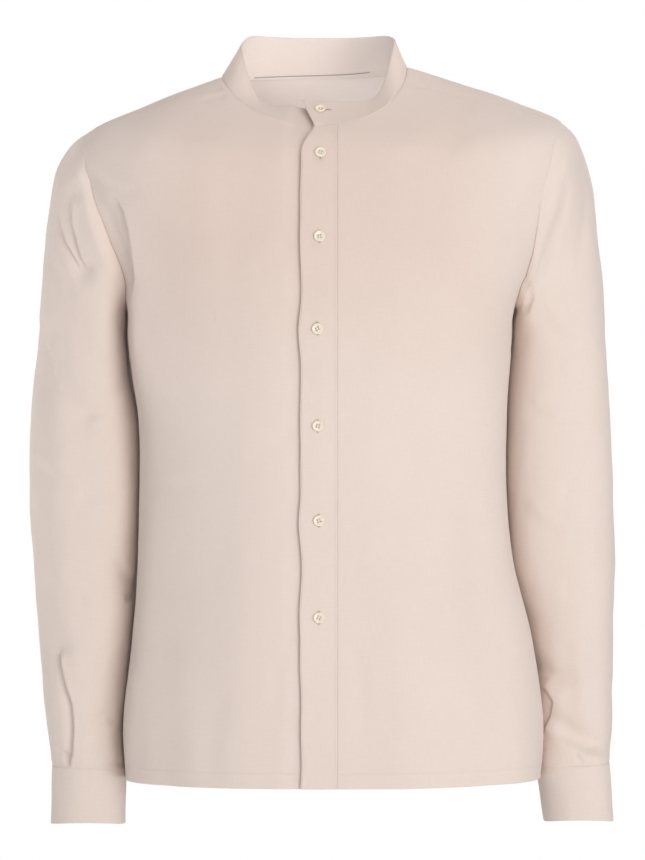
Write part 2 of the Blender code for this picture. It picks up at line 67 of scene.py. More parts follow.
# x_minus x_plus z_minus z_plus y_front z_front y_back z_back squareness
BODY_RINGS = {
    "hem": (-193, 221, -700, -699, -121, -700, 124, -706, 2.3),
    "hip": (-195, 224, -640, -640, -122, -640, 127, -642, 2.3),
    "seat": (-186, 213, -560, -560, -120, -560, 126, -561, 2.3),
    "low_waist": (-180.5, 194, -485, -485, -117, -485, 122, -485, 2.3),
    "waist": (-179, 187, -410, -410, -116, -410, 119, -410, 2.3),
    "ribs": (-180, 187.5, -348, -348, -119, -348, 120, -348, 2.3),
    "under_arm": (-187, 190, -300, -300, -124.5, -300, 124, -300, 2.35),
    "chest": (-192, 194, -260, -260, -129, -260, 128, -260, 2.4),
    "armpit": (-193, 199, -228, -228, -131, -228, 130, -228, 2.5),
    "armhole_low": (-206, 214, -192, -192, -131, -193, 132, -190, 2.6),
    "armhole_middle": (-227, 228, -154, -154, -127, -156, 132, -151, 2.65),
    "armhole_high": (-249, 242, -115, -115, -120, -122, 128, -114, 2.65),
    "shoulder_low": (-254, 252, -78, -74, -114, -97, 119, -84, 2.6),
    "shoulder_tip": (-227, 242, -52, -45, -107, -80, 108, -60, 2.5),
    "shoulder": (-186, 198, -34, -25, -99.5, -69, 95, -38, 2.4),
    "neck_side": (-141, 146, -15, -7, -92, -61, 81, -17, 2.3),
    "neck": (-97, 88, 1, 11, -84, -54, 66, 6, 2.2),
}
COLLAR_TOP = (-78, 76, 30, 36, -52, -27.5, 61, 46, 2.2)
SADDLE_MINUS, SADDLE_PLUS = 1.4, 1.1  # how late a ring leaves its side height

# x_outer z_outer x_inner z_inner y_middle half_depth
SLEEVE_RIGHT = {
    "armhole": (-227, -52, -193, -228, 0, 76),
    "cap_top": (-247, -66, -194.5, -235, 8, 79),
    "cap_middle": (-264, -92, -195, -244, 18, 80),
    "cap_base": (-272, -132, -194, -256, 28, 79),
    "upper_arm": (-278, -190, -191.2, -274, 36, 76),
    "biceps": (-283, -252, -187.0, -305, 42, 71),
    "above_elbow": (-289, -322, -179.5, -350, 41, 66),
    "elbow": (-291.5, -400, -178.3, -410, 35, 62),
    "forearm": (-288.5, -478, -181.5, -480, 36, 58),
    "middle_forearm": (-283, -548, -186.0, -548, 35, 54),
    "low_forearm": (-278, -604, -192.2, -604, 32, 49),
    "wrist": (-272.5, -652, -196.6, -652, 29, 43.5),
    "cuff_seam": (-268, -689, -194.5, -691, 27, 38.5),
}
SLEEVE_LEFT = {
    "armhole": (242, -45, 199, -228, 0, 76),
    "cap_top": (258, -57, 200.0, -235, 11, 79),
    "cap_middle": (269, -80, 198, -243, 26, 79),
    "cap_base": (278, -122, 194.5, -254, 40, 78),
    "upper_arm": (284.5, -184, 191.5, -273, 49, 75),
    "biceps": (289, -250, 188, -305, 48, 70),
    "above_elbow": (292.5, -320, 186.8, -350, 43, 66),
    "elbow": (296, -400, 186.6, -410, 40, 62),
    "forearm": (297.5, -478, 193, -480, 43, 58),
    "middle_forearm": (298, -548, 208, -548, 53, 54),
    "low_forearm": (298, -604, 215, -604, 60, 49),
    "wrist": (299, -652, 218, -652, 60, 43.5),
    "cuff_seam": (294, -689, 220, -691, 54, 38.5),
}
CUFF_END_RIGHT = (-269.5, -744, -195.5, -744, 27, 37.5)
CUFF_END_LEFT = (297.4, -744, 228.3, -744, 50, 36)

LEVELS = {name: float(index) for index, name in enumerate(BODY_RINGS)}
HEM, ARMPIT, TIP, NECK = (LEVELS[name] for name in ("hem", "armpit", "shoulder_tip", "neck"))


class Side(Enum):
    """The wearer's side that a piece is on; its value is the sign of X there."""

    LEFT = 1
    RIGHT = -1

    @property
    def word(self) -> str:
        """The side's name as the nodes spell it."""
        return self.name.lower()


class Lap(Enum):
    """How a panel's edge meets its neighbour."""

    OVER = "over"
    UNDER = "under"
    FLAT = "flat"
    FREE = "free"
    SUNK = "sunk"
    PLUNGING = "plunging"


# Each edge profile is rows of (millimetres in from the seam line, millimetres out from the surface).
EDGE_PROFILES = {
    Lap.OVER: ((0.0, -0.08), (0.4, -0.02), (1.2, 0.02), (3.5, 0.04), (6.5, 0.0), (9.0, 0.0)),
    Lap.UNDER: ((-2.2, -1.0), (-1.0, -0.55), (-0.2, -0.2), (0.3, -0.1), (1.0, -0.03), (4.0, 0.0)),
    Lap.FLAT: ((-5.0, -1.1), (-1.2, -1.0), (-0.3, -0.7), (0.4, -0.25), (1.4, 0.0), (4.0, 0.0)),
    Lap.FREE: ((0.0, -0.12), (0.3, 0.0), (1.4, 0.05), (4.0, 0.04), (6.5, 0.0), (9.0, 0.0)),
    Lap.SUNK: ((0.0, -0.4), (0.8, -0.2), (1.8, -0.06), (3.2, 0.0), (5.5, 0.0), (9.0, 0.0)),
    Lap.PLUNGING: ((-1.8, -0.6), (-0.7, -0.32), (0.3, -0.1), (1.5, 0.0), (3.5, 0.05), (6.5, 0.0)),
}


@dataclass(frozen=True)
class Changing:
    """An edge that is one lap as far as a value of the first parameter, and another after it."""

    before: Lap
    after: Lap
    at: float
    over: float = 0.12

    def profile(self, first: Array) -> Array:
        """The edge profile at each value of the first parameter."""
        share = smooth(self.at - self.over, self.at + self.over, first)[:, None, None]
        return mix(np.array(EDGE_PROFILES[self.before]), np.array(EDGE_PROFILES[self.after]), share)


def measure(line: Line, x: Array, z: Array) -> tuple[Array, Array]:
    """Where places lie beside a line.

    Args:
        line: The line's points.
        x: Places across.
        z: Heights.

    Returns:
        Distances from the line, positive on the left of its direction, and shares of the way along it.
    """
    points = np.array(line, float)
    lengths = np.hypot(*np.diff(points, axis=0).T)
    walked = np.concatenate([[0.0], np.cumsum(lengths)])
    nearest, signed, along = np.full(x.shape, np.inf), np.zeros(x.shape), np.zeros(x.shape)
    for (x0, z0), (x1, z1), length, start in zip(points, points[1:], lengths, walked):
        run_x, run_z = (x1 - x0) / length, (z1 - z0) / length
        share = np.clip((x - x0) * run_x + (z - z0) * run_z, 0, length)
        away_x, away_z = x - x0 - run_x * share, z - z0 - run_z * share
        distance = np.hypot(away_x, away_z)
        closer = distance < nearest
        nearest = np.where(closer, distance, nearest)
        signed = np.where(closer, np.copysign(distance, run_x * away_z - run_z * away_x), signed)
        along = np.where(closer, (start + share) / walked[-1], along)
    return signed, along


def tapered(along: Array, taper: float) -> Array:
    """A factor that falls to nothing at both ends of a line."""
    if not taper:
        return np.ones(along.shape)
    return smooth(0, taper, np.minimum(along, 1 - along))


@dataclass(frozen=True)
class Crease:
    """A crease along a line seen from the front, as (x, z) points in millimetres.

    A positive depth is a trough and a negative one a ridge. Lip raises the cloth beside a trough, on the left
    of the line's direction, which is the +X side of a line that runs down, so the cloth looks folded over.
    """

    line: Line
    width: float
    depth: float
    lip: float = 0.0
    taper: float = 0.2
    lip_place: ClassVar[float] = 1.15  # in widths
    lip_spread: ClassVar[float] = 0.6

    def offset(self, x: Array, z: Array) -> Array:
        """How far the crease moves the cloth out.

        Args:
            x: Places across, in millimetres.
            z: Heights, in millimetres.

        Returns:
            Offsets in millimetres.
        """
        signed, along = measure(self.line, x, z)
        across = signed / self.width
        lip = self.lip * bell((np.abs(across) - self.lip_place) / self.lip_spread) * (across > 0)
        return (lip - bell(across)) * self.depth * tapered(along, self.taper)


@dataclass(frozen=True)
class Fold:
    """Cloth folded over along a line seen from the front: sunk on one side of it and raised on the other.

    The raised side is on the left of the line's direction, which is the +X side of a line that runs down.
    """

    line: Line
    sunk: float
    raised: float
    sunk_reach: float = 9.0
    raised_reach: float = 8.0
    edge: float = 1.8
    taper: float = 0.2
    fall: ClassVar[float] = 1.4  # how squarely it falls off

    def offset(self, x: Array, z: Array) -> Array:
        """How far the fold moves the cloth out, in millimetres, at places in millimetres."""
        signed, along = measure(self.line, x, z)
        low, high = (
            depth * np.exp(-((np.abs(signed) / reach) ** self.fall))
            for depth, reach in ((-self.sunk, self.sunk_reach), (self.raised, self.raised_reach))
        )
        return mix(low, high, smooth(-self.edge, self.edge, signed)) * tapered(along, self.taper)


# Broad folds at the places of the solids' own, which don't taper.
SOLID_FOLD_ROWS = {
    "front": (
        (((-224, -112), (-204, -134), (-191, -165), (-182, -204)), 15, 4.5),
        (((212, -196), (196, -236), (186, -262)), 12, 3.0),
        (((-152, -560), (-148, -640), (-150, -704)), 16, 3.5),
        (((150, -430), (164, -560), (172, -700)), 22, 4.0),
        (((78, -520), (84, -620), (80, -704)), 24, -3.0),
    ),
    "back": (
        (((-204, -140), (-190, -170), (-178, -224)), 15, 5.0),
        (((206, -140), (192, -176), (184, -232)), 15, 4.5),
        (((-60, -160), (-72, -330), (-64, -560)), 24, 4.0),
        (((66, -165), (80, -360), (92, -700)), 26, 4.0),
    ),
    "sleeve_right": (
        (((-256, -75), (-262, -112), (-256, -150), (-237, -196)), 12, 3.5),
        (((-244, -120), (-238, -172), (-229, -192)), 11, 3.0),
        (((-276, -262), (-262, -305), (-236, -340)), 16, 3.5),
        (((-212, -478), (-190, -508)), 14, 3.0),
        (((-259, -569), (-247, -622), (-245, -656), (-250, -690)), 11, 4.0),
    ),
    "sleeve_left": (
        (((262, -78), (270, -120), (262, -178)), 13, 3.0),
        (((214, -590), (238, -602)), 12, 4.0),
        (((233, -640), (256, -655), (288, -670)), 11, 4.0),
    ),
}
SOLID_FOLDS = {
    panel: tuple(Crease(*row, taper=0) for row in rows) for panel, rows in SOLID_FOLD_ROWS.items()
}

# Finer creases, pressed into the cloth over those folds.
FINE_CREASES: dict[str, tuple[Crease | Fold, ...]] = {
    "front": (
        Fold(((-204, -118), (-194, -140), (-189.5, -166), (-187, -202), (-188, -230)), 6.5, 0.6, 12, 12, 4.2),
        Crease(((-226, -118), (-212, -140), (-200, -172), (-190, -206), (-190, -226)), 5, 2.0, 0.0, 0.25),
        Crease(((210, -202), (204, -216), (197, -232)), 4.5, 2.6, 0.3),
        Crease(((-232, -100), (-214, -112), (-196, -118), (-170, -120)), 7, 1.0, 0.3),
        Crease(((208, -206), (205, -226), (199, -240)), 5, 1.6, 0.6),
        Crease(((222, -108), (205, -140), (198, -170)), 9, 1.3, 0.3),
        Crease(((-118, -28), (-108, -24), (-92, -22)), 4, 0.8, 0.5),
        Crease(((-104, -8), (-98, -20), (-94, -34)), 4, 0.7, 0.5),
        Crease(((-150, -66), (-112, -84), (-70, -92)), 10, 0.9, 0.2),
        Crease(((150, -60), (112, -86), (66, -100)), 12, 1.0, 0.2),
        Crease(((-24, -170), (-40, -190), (-66, -200)), 9, 0.8, 0.3),
        Crease(((24, -262), (44, -272), (74, -270)), 9, 0.8, 0.3),
        Crease(((-176, -300), (-156, -318), (-120, -326)), 8, 1.0, 0.3),
        Crease(((182, -310), (164, -330), (128, -344)), 8, 1.0, 0.3),
        Crease(((-174, -400), (-150, -410), (-112, -404)), 10, 1.0, 0.3),
        Crease(((-24, -350), (-44, -372), (-76, -380)), 9, 0.8, 0.3),
        Crease(((24, -445), (52, -462), (90, -462)), 10, 0.9, 0.3),
        Crease(((186, -424), (160, -436), (126, -430)), 9, 0.9, 0.3),
        Crease(((-24, -540), (-40, -580), (-44, -640)), 9, 0.9, 0.3),
        Crease(((26, -546), (40, -590), (42, -660)), 10, 0.9, 0.3),
        Crease(((-96, -600), (-104, -650), (-102, -704)), 12, 1.2, 0.2),
        Crease(((-188, -606), (-184, -648), (-176, -700)), 9, 2.6, 0.0, 0.3),
        Crease(((120, -600), (126, -650), (124, -704)), 12, 1.3, 0.2),
    ),
    "back": (
        Crease(((-150, -150), (-120, -176), (-70, -190)), 10, 1.2, 0.3),
        Crease(((152, -150), (120, -180), (74, -196)), 10, 1.2, 0.3),
        Crease(((0, -150), (6, -300), (-4, -470)), 14, 1.3, 0.3),
        Crease(((-170, -330), (-130, -350), (-80, -350)), 10, 1.2, 0.3),
        Crease(((172, -340), (134, -366), (90, -372)), 10, 1.2, 0.3),
        Crease(((-160, -430), (-110, -440), (-60, -428)), 12, 1.2, 0.3),
        Crease(((164, -424), (120, -440), (70, -432)), 12, 1.2, 0.3),
        Crease(((-130, -540), (-140, -620), (-136, -704)), 16, 2.0, 0.2),
        Crease(((10, -560), (16, -640), (10, -706)), 16, 1.8, 0.2),
    ),
    "sleeve_right": (
        Crease(((-241, -92), (-233, -119), (-225, -146), (-216, -171), (-207, -194)), 6, -2.0, 0.0, 0.15),
        Fold(((-256, -72), (-261, -97), (-261, -130), (-251, -167), (-236, -197)), 0.8, 4.4, 9, 9, 1.6),
        Fold(((-244, -117), (-244, -148), (-235, -184), (-231, -196)), 0.6, 3.8, 8, 8, 1.5),
        Crease(((-270, -150), (-264, -190), (-240, -226)), 7, 1.4, 0.4),
        Fold(((-275, -262), (-268, -284), (-259, -316)), 0.4, 1.6, 8, 9, 1.8),
        Crease(((-192, -300), (-214, -330), (-240, -342)), 8, 1.4, 0.4),
        Crease(((-184, -396), (-210, -416), (-246, -420)), 9, 1.4, 0.4),
        Crease(((-284, -380), (-266, -402), (-236, -412)), 8, 1.1, 0.4),
        Crease(((-182, -519.5), (-187, -521), (-194, -522)), 3.5, 2.2, 0.5),
        Crease(((-206, -470), (-194, -492), (-186, -508)), 5, 1.6, 0.5),
        Crease(((-278, -498), (-252, -520), (-226, -524)), 9, 1.2, 0.3),
        Crease(((-192, -548), (-214, -566), (-230, -600)), 9, 1.2, 0.3),
        Fold(
            (
                (-258, -568), (-257, -586), (-252, -608), (-246, -626), (-244.5, -649), (-246, -674),
                (-250, -692),
            ),
            1.6, 5.4, 9, 12, 1.5, 0.1,
        ),
        Crease(((-266, -670), (-252, -678), (-247, -681)), 3.5, 2.2, 0.4),
        Crease(((-200, -646), (-211, -637), (-230, -647)), 6, 2.0, 0.5),
        Crease(((-192, -690), (-202, -686), (-216, -690)), 4, 2.4, 0.5),
        Crease(((-226, -612), (-220, -646), (-222, -690)), 9, 1.2, 0.3),
    ),
    "sleeve_left": (
        Crease(((262, -78), (268, -104), (268, -140), (261, -176)), 6, 1.4, 0.4),
        Crease(((246, -96), (240, -140), (226, -180)), 7, 1.3, 0.4),
        Crease(((208, -204), (209, -222), (203, -238)), 4.5, 1.8, 0.5),
        Crease(((214, -230), (240, -262), (276, -276)), 9, 1.4, 0.3),
        Crease(((204, -330), (232, -346), (266, -344)), 9, 1.4, 0.4),
        Crease(((292, -392), (268, -410), (236, -414)), 9, 1.2, 0.4),
        Crease(((196, -420), (218, -448), (244, -456)), 9, 1.3, 0.4),
        Crease(((290, -486), (262, -510), (236, -512)), 9, 1.2, 0.3),
        Crease(((293, -669), (271, -669), (252, -659), (235, -648)), 9, 3.6, 0.5, 0.25),
        Crease(((257, -677), (266, -689)), 3, 1.6, 0.4),
        Fold(((219, -608), (228, -614), (235, -625), (231, -640), (225, -658)), 0.8, 2.8, 8, 14, 1.5, 0.15),
        Crease(((246, -560), (252, -610), (248, -640)), 9, 1.2, 0.3),
    ),
    "sleeve_right_back": (
        Crease(((-200, -250), (-232, -280), (-272, -290)), 10, 2.0, 0.4),
        Crease(((-196, -340), (-228, -370), (-272, -372)), 10, 2.4, 0.5),
        Crease(((-188, -400), (-222, -424), (-268, -418)), 9, 2.2, 0.5),
        Crease(((-270, -470), (-240, -500), (-204, -506)), 10, 1.6, 0.3),
        Crease(((-236, -600), (-240, -650), (-238, -690)), 8, 2.0, 0.4),
        Crease(((-222, -630), (-220, -660), (-222, -690)), 7, 1.6, 0.3),
    ),
    "sleeve_left_back": (
        Crease(((206, -244), (238, -276), (276, -284)), 10, 2.0, 0.4),
        Crease(((198, -336), (232, -362), (280, -368)), 10, 2.2, 0.5),
        Crease(((196, -408), (228, -428), (276, -420)), 9, 2.4, 0.5),
        Crease(((286, -480), (252, -508), (214, -514)), 10, 1.6, 0.3),
        Crease(((252, -600), (256, -650), (252, -690)), 8, 2.0, 0.4),
        Crease(((270, -636), (268, -664), (270, -690)), 7, 1.6, 0.3),
    ),
}


# ---- Curves and fields ----


def spline(table: Array, at: Array) -> Array:
    """Catmull-Rom through a table's rows.

    Args:
        table: Rows of values, equally spaced.
        at: Places, counted in rows from the first.

    Returns:
        The values at each place, in a last axis of their own.
    """
    last = len(table) - 1
    first = np.clip(np.floor(at).astype(int), 0, last - 1)
    t = (at - first)[..., None]
    before, start, end, after = (table[np.clip(first + k, 0, last)] for k in (-1, 0, 1, 2))
    bend = 2 * before - 5 * start + 4 * end - after
    twist = 3 * (start - end) + after - before
    return 0.5 * (2 * start + (end - before) * t + bend * t**2 + twist * t**3)


def smooth(low: float, high: float, value: Array) -> Array:
    """A soft step from 0 at low to 1 at high."""
    t = np.clip((value - low) / (high - low), 0, 1)
    return t * t * (3 - 2 * t)


def mix(a: Array, b: Array, share: Array) -> Array:
    """The value a share of the way from a to b."""
    return a + (b - a) * share


def bell(value: Array) -> Array:
    """A soft hump: 1 at nothing, and next to nothing two either way."""
    return np.exp(-(value**2))


def window(value: Array, rise: Pair, fall: Pair) -> Array:
    """A factor that goes from 0 to 1 over the rise, and back over the fall."""
    return smooth(*rise, value) * (1 - smooth(*fall, value))


def unit(vectors: Array) -> Array:
    """The vectors at length one."""
    return vectors / np.maximum(np.linalg.norm(vectors, axis=-1, keepdims=True), 1e-12)


def walk(line: Array) -> Array:
    """The way walked to each point of a line."""
    return np.concatenate([[0.0], np.cumsum(np.linalg.norm(np.diff(line, axis=0), axis=1))])


def at_places(places: Array, walked: Array, values: Array) -> Array:
    """Vectors given along a line, at other places on it."""
    return np.stack([np.interp(places, walked, values[:, k]) for k in range(3)], axis=-1)


@dataclass(frozen=True)
class Ripple:
    """A soft random unevenness of the cloth, from a few sine waves in seeded directions."""

    wavelength: float
    amplitude: float
    stretch: Point
    seed: int
    waves: int = 9
    variety: ClassVar[Pair] = (0.7, 1.5)  # of the waves' lengths

    def at(self, points: Array) -> Array:
        """The offset at each point, all in metres."""
        random = np.random.RandomState(self.seed)
        total = np.zeros(points.shape[:-1])
        for _ in range(self.waves):
            direction = random.normal(size=3)
            direction = direction / np.linalg.norm(direction) / np.array(self.stretch)
            reach = TURN / (self.wavelength * random.uniform(*self.variety))
            total += np.sin(points @ (direction * reach) + random.uniform(0, TURN))
        return total * self.amplitude * math.sqrt(2 / self.waves)


BODY_RIPPLES = (
    Ripple(0.085, 0.55 * MM, (1, 1, 3.2), 11),
    Ripple(0.032, 0.10 * MM, (1, 1, 1.6), 12),
)
SLEEVE_RIPPLES = (
    Ripple(0.060, 0.55 * MM, (1.1, 1, 1.7), 21),
    Ripple(0.026, 0.12 * MM, (1, 1, 1.3), 22),
)
BAND_RIPPLES = (Ripple(0.050, 0.22 * MM, (1, 1, 1), 31),)


# ---- The cloth's surfaces ----


class Cloth:
    """A surface of two parameters that cloth lies on, with its relief."""

    outwards: float = 1.0
    step: float = 0.01  # of both parameters, between the points that normals are taken from

    def surface(self, first: Array, second: Array) -> Array:
        """The surface's points, in metres."""
        raise NotImplementedError

    def relief(self, points: Array, first: Array, second: Array) -> Array:
        """How far creases and ripples move the cloth out, in metres."""
        raise NotImplementedError

    def normals(self, first: Array, second: Array) -> Array:
        """Unit normals, pointing out of the shirt."""
        across = self.surface(first, second + self.step) - self.surface(first, second - self.step)
        along = self.surface(first + self.step, second) - self.surface(first - self.step, second)
        return unit(np.cross(across, along)) * self.outwards

    def place(self, first: Array, second: Array, lift: Array | float = 0.0) -> tuple[Array, Array]:
        """Points of the finished cloth.

        Args:
            first: The first parameter.
            second: The second parameter.
            lift: Metres further out.

        Returns:
            The points, and the normals of the surface under them.
        """
        first, second = np.broadcast_arrays(np.asarray(first, float), np.asarray(second, float))
        points, normals = self.surface(first, second), self.normals(first, second)
        out = self.relief(points, first, second) + lift
        return points + normals * out[..., None], normals


def crease_offsets(creases: Sequence[Crease], points: Array) -> Array:
    """What several creases add at each point, in metres."""
    x, z = points[..., 0] / MM, points[..., 2] / MM
    return sum((crease.offset(x, z) for crease in creases), np.zeros(x.shape)) * MM


def ripple_offsets(ripples: Sequence[Ripple], points: Array) -> Array:
    """What several ripples add at each point, in metres."""
    return sum((ripple.at(points) for ripple in ripples), np.zeros(points.shape[:-1]))


class BodyCloth(Cloth):
    """The body's surface by level (a ring of the table) and turn (0 at +X, rising towards the back)."""

    table = np.array(list(BODY_RINGS.values()), float)
    side_calm = (0.04, 0.3)  # sines of turn over which the fine creases come in, past the sides
    neck_calm = 0.75  # the share of the ripples that is lost towards the neck

    def ring(self, level: Array) -> Array:
        """The ring's nine sizes at each level."""
        return spline(self.table, level)

    @staticmethod
    def plan(ring: Array, turn: Array) -> tuple[Array, Array]:
        """Where a turn lies on a ring, seen from above, in millimetres."""
        c, s = np.cos(turn), np.sin(turn)
        power = 2 / ring[..., 8]
        x = np.where(c > 0, ring[..., 1], ring[..., 0]) * np.abs(c) ** power
        y = np.where(s > 0, ring[..., 6], ring[..., 4]) * np.abs(s) ** power
        return x, y

    def surface(self, level: Array, turn: Array) -> Array:
        """The surface's points, in metres."""
        ring = self.ring(level)
        x, y = self.plan(ring, turn)
        plus = np.cos(turn) > 0
        side = np.where(plus, ring[..., 3], ring[..., 2])
        saddle = np.where(plus, SADDLE_PLUS, SADDLE_MINUS)
        end = np.where(np.sin(turn) > 0, ring[..., 7], ring[..., 5])
        z = mix(side, end, np.abs(np.sin(turn)) ** saddle)
        return np.stack([x, y, z], axis=-1) * MM

    def relief(self, points: Array, first: Array, second: Array) -> Array:
        """The folds of the front or of the back, fine creases over them, and ripples."""
        lean = np.sin(second)
        total = np.zeros(points.shape[:-1])
        for name, here in (("front", lean <= 0), ("back", lean > 0)):
            out = crease_offsets(SOLID_FOLDS[name], points)
            out = out + crease_offsets(FINE_CREASES[name], points) * smooth(*self.side_calm, np.abs(lean))
            total = np.where(here, out, total)
        soft = 1 - self.neck_calm * smooth(TIP, NECK, first)
        return total + ripple_offsets(BODY_RIPPLES, points) * soft

    def turn_at_x(self, level: Array, x: Array | float) -> Array:
        """The turn on the front where a ring reaches x, in metres."""
        ring = self.ring(level)
        reach = np.where(x > 0, ring[..., 1], -ring[..., 0]) * MM
        return -np.arccos(np.copysign((np.abs(x) / reach) ** (ring[..., 8] / 2), x))

    def turn_at_y(self, level: Array, y: Array, side: Side) -> Array:
        """The turn on one side where a ring reaches y, in metres; negative on the front."""
        ring = self.ring(level)
        reach = np.where(y > 0, ring[..., 6], -ring[..., 4]) * MM
        turn = np.copysign(np.arcsin(np.clip((np.abs(y) / reach) ** (ring[..., 8] / 2), 0, 1)), y)
        return turn if side is Side.LEFT else math.pi - turn


BODY = BodyCloth()
ARMHOLE_TOP_SHIFT = -26 * MM  # how far back the armhole's top lies, and so the yoke's front seam there
ARMHOLE_FRONT, ARMHOLE_BACK = 54 * MM, 98 * MM  # how far the armhole swings forward and back
YOKE_SEAM_AT_NECK = -36 * MM
PLACKET_HALF = 17.5 * MM
ARMHOLE_STEPS = 10  # from the armpit to the armhole's top
YOKE_STEP = 6  # where the yoke's back seam meets the armhole
TUBE_SQUARENESS = 2.55


def armhole_depth(level: Array, back: Array | bool) -> Array:
    """How far back the armhole's edge lies at a level, in metres."""
    rise = (np.asarray(level, float) - ARMPIT) / (TIP - ARMPIT)
    swing = 2 * np.sqrt(np.maximum(rise * (1 - rise), 0))
    return rise * ARMHOLE_TOP_SHIFT + swing * np.where(back, ARMHOLE_BACK, -ARMHOLE_FRONT)


def edge_depth(level: Array, back: bool) -> Array:
    """How far back a panel's outer edge lies: side seam, then armhole, then the front yoke seam."""
    level = np.asarray(level, float)
    over = mix(ARMHOLE_TOP_SHIFT, YOKE_SEAM_AT_NECK, (level - TIP) / (NECK - TIP))
    return np.where(level <= ARMPIT, 0.0, np.where(level < TIP, armhole_depth(level, back), over))


def armhole_level(step: Array) -> Array:
    """The level of a step round the armhole, from the armpit at 0 to its top at ARMHOLE_STEPS."""
    return mix(ARMPIT, TIP, (1 - np.cos(math.pi * np.asarray(step, float) / ARMHOLE_STEPS)) / 2)


def armhole_place(turn: Array, side: Side) -> tuple[Array, Array]:
    """The body's level and turn at the armhole seam.

    Args:
        turn: Turns round the seam, from the armpit by the front to its top and down the back.
        side: The wearer's side.

    Returns:
        The levels and the body's turns.
    """
    turn = np.mod(turn, 1)
    level = armhole_level(2 * ARMHOLE_STEPS * np.minimum(turn, 1 - turn))
    return level, BODY.turn_at_y(level, armhole_depth(level, turn > 0.5), side)


def tube_points(tube: Array, turn: Array) -> Array:
    """Points of a tube's section, in metres, from its inner end round by the front."""
    angle, power = TURN * turn, 2 / TUBE_SQUARENESS
    c, s = (np.copysign(np.abs(part) ** power, part) for part in (np.cos(angle), np.sin(angle)))
    x, z = (mix(tube[..., k], tube[..., k + 2], (1 + c) / 2) for k in (0, 1))
    return np.stack([x, tube[..., 4] - tube[..., 5] * s, z], axis=-1) * MM


class SleeveCloth(Cloth):
    """A sleeve's surface by row of its table and turn (0 next to the body, a quarter at the front)."""

    residual_rows = 5
    join_rows = 1.8
    # The turn, spread and depth of each swelling under the arm, and the row and spread of both.
    swells = ((0.99, 0.06, 3.2 * MM), (0.905, 0.05, 7.5 * MM))
    swell_row, swell_rows = 1.9, 0.95
    # Turns over which the fine creases of the front and of the back come in and go out.
    front_turns = ((0.0, 0.06), (0.44, 0.5))
    back_turns = ((0.52, 0.6), (0.9, 0.98))
    fold_ease = 0.03
    ripple_start = 1.5  # rows below the armhole
    # In rows of about 37 mm above the cuff: where the creases end and the ripples fade, and where the cloth
    # gathers and rolls out.
    crease_end = (0.22, 0.04)
    ripple_end, ripple_loss = 0.6, 0.6
    gather_rows, gather_depth, gathers = 1.1, 0.15 * MM, 17
    roll_row, roll_rows, roll_waver, cuff_roll = 0.24, 0.17, 0.35, 0.6 * MM

    def __init__(self, side: Side, sections: dict[str, Section]) -> None:
        """Takes the side and the table of sections from armhole to cuff seam."""
        self.side = side
        self.outwards = -float(side.value)
        self.table = np.array(list(sections.values()), float)
        self.folds = SOLID_FOLDS[f"sleeve_{side.word}"]
        self.front = FINE_CREASES[f"sleeve_{side.word}"]
        self.back = FINE_CREASES[f"sleeve_{side.word}_back"]

    @property
    def last(self) -> float:
        """The row of the cuff seam."""
        return float(len(self.table) - 1)

    def surface(self, row: Array, turn: Array) -> Array:
        """The surface's points, in metres."""
        fade = np.maximum(1 - row / self.residual_rows, 0) ** 2
        residual = BODY.surface(*armhole_place(turn, self.side)) - tube_points(self.table[0], turn)
        points = tube_points(spline(self.table, row), turn) + residual * fade[..., None]
        for middle, spread, depth in self.swells:
            away = np.mod(turn - middle + 0.5, 1) - 0.5
            swell = np.exp(-((away / spread) ** 2) - ((row - self.swell_row) / self.swell_rows) ** 2)
            points[..., 0] -= self.side.value * depth * swell
        return points

    def relief(self, points: Array, first: Array, second: Array) -> Array:
        """The folds of the front half, fine creases over them, those of the back half, and ripples."""
        turn, last = np.mod(second, 1), self.last
        front, back = window(turn, *self.front_turns), window(turn, *self.back_turns)
        ease = smooth(0.0, self.fold_ease, 0.5 - np.abs(turn - 0.25) * 2)
        total = np.where(turn < 0.5, crease_offsets(self.folds, points), 0.0) * ease
        total += crease_offsets(self.front, points) * front + crease_offsets(self.back, points) * back
        total *= 1 - smooth(*(last - rows for rows in self.crease_end), first)
        ends = smooth(0, self.ripple_start, first) * (
            1 - self.ripple_loss * smooth(last - self.ripple_end, last, first)
        )
        angle = TURN * turn
        gathered = np.sin(angle * self.gathers + 1.7 * np.sin(angle * 3)) * self.gather_depth
        waver = 1 + self.roll_waver * np.sin(angle * 3 + 1.0)
        roll = bell((last - first - self.roll_row) / self.roll_rows) * self.cuff_roll * waver
        gathered = gathered * smooth(last - self.gather_rows, last, first) + roll
        return total + ripple_offsets(SLEEVE_RIPPLES, points) * ends + gathered

    def place(self, first: Array, second: Array, lift: Array | float = 0.0) -> tuple[Array, Array]:
        """Points of the finished cloth, drawn to the body's own at the armhole."""
        points, normals = super().place(first, second, lift)
        turn = np.mod(np.broadcast_to(np.asarray(second, float), points.shape[:-1]), 1)
        row = np.broadcast_to(np.asarray(first, float), turn.shape)
        joined = BODY.place(*armhole_place(turn, self.side))[0]
        shift = joined - super().place(np.zeros(turn.shape), turn)[0]
        share = np.clip(1 - row / self.join_rows, 0, 1) ** 2
        return points + shift * share[..., None], normals


class BandCloth(Cloth):
    """A straight band between two edges, by height (0 at the seam, 1 at the free edge) and turn."""

    def relief(self, points: Array, first: Array, second: Array) -> Array:
        """Ripples alone."""
        return ripple_offsets(BAND_RIPPLES, points)


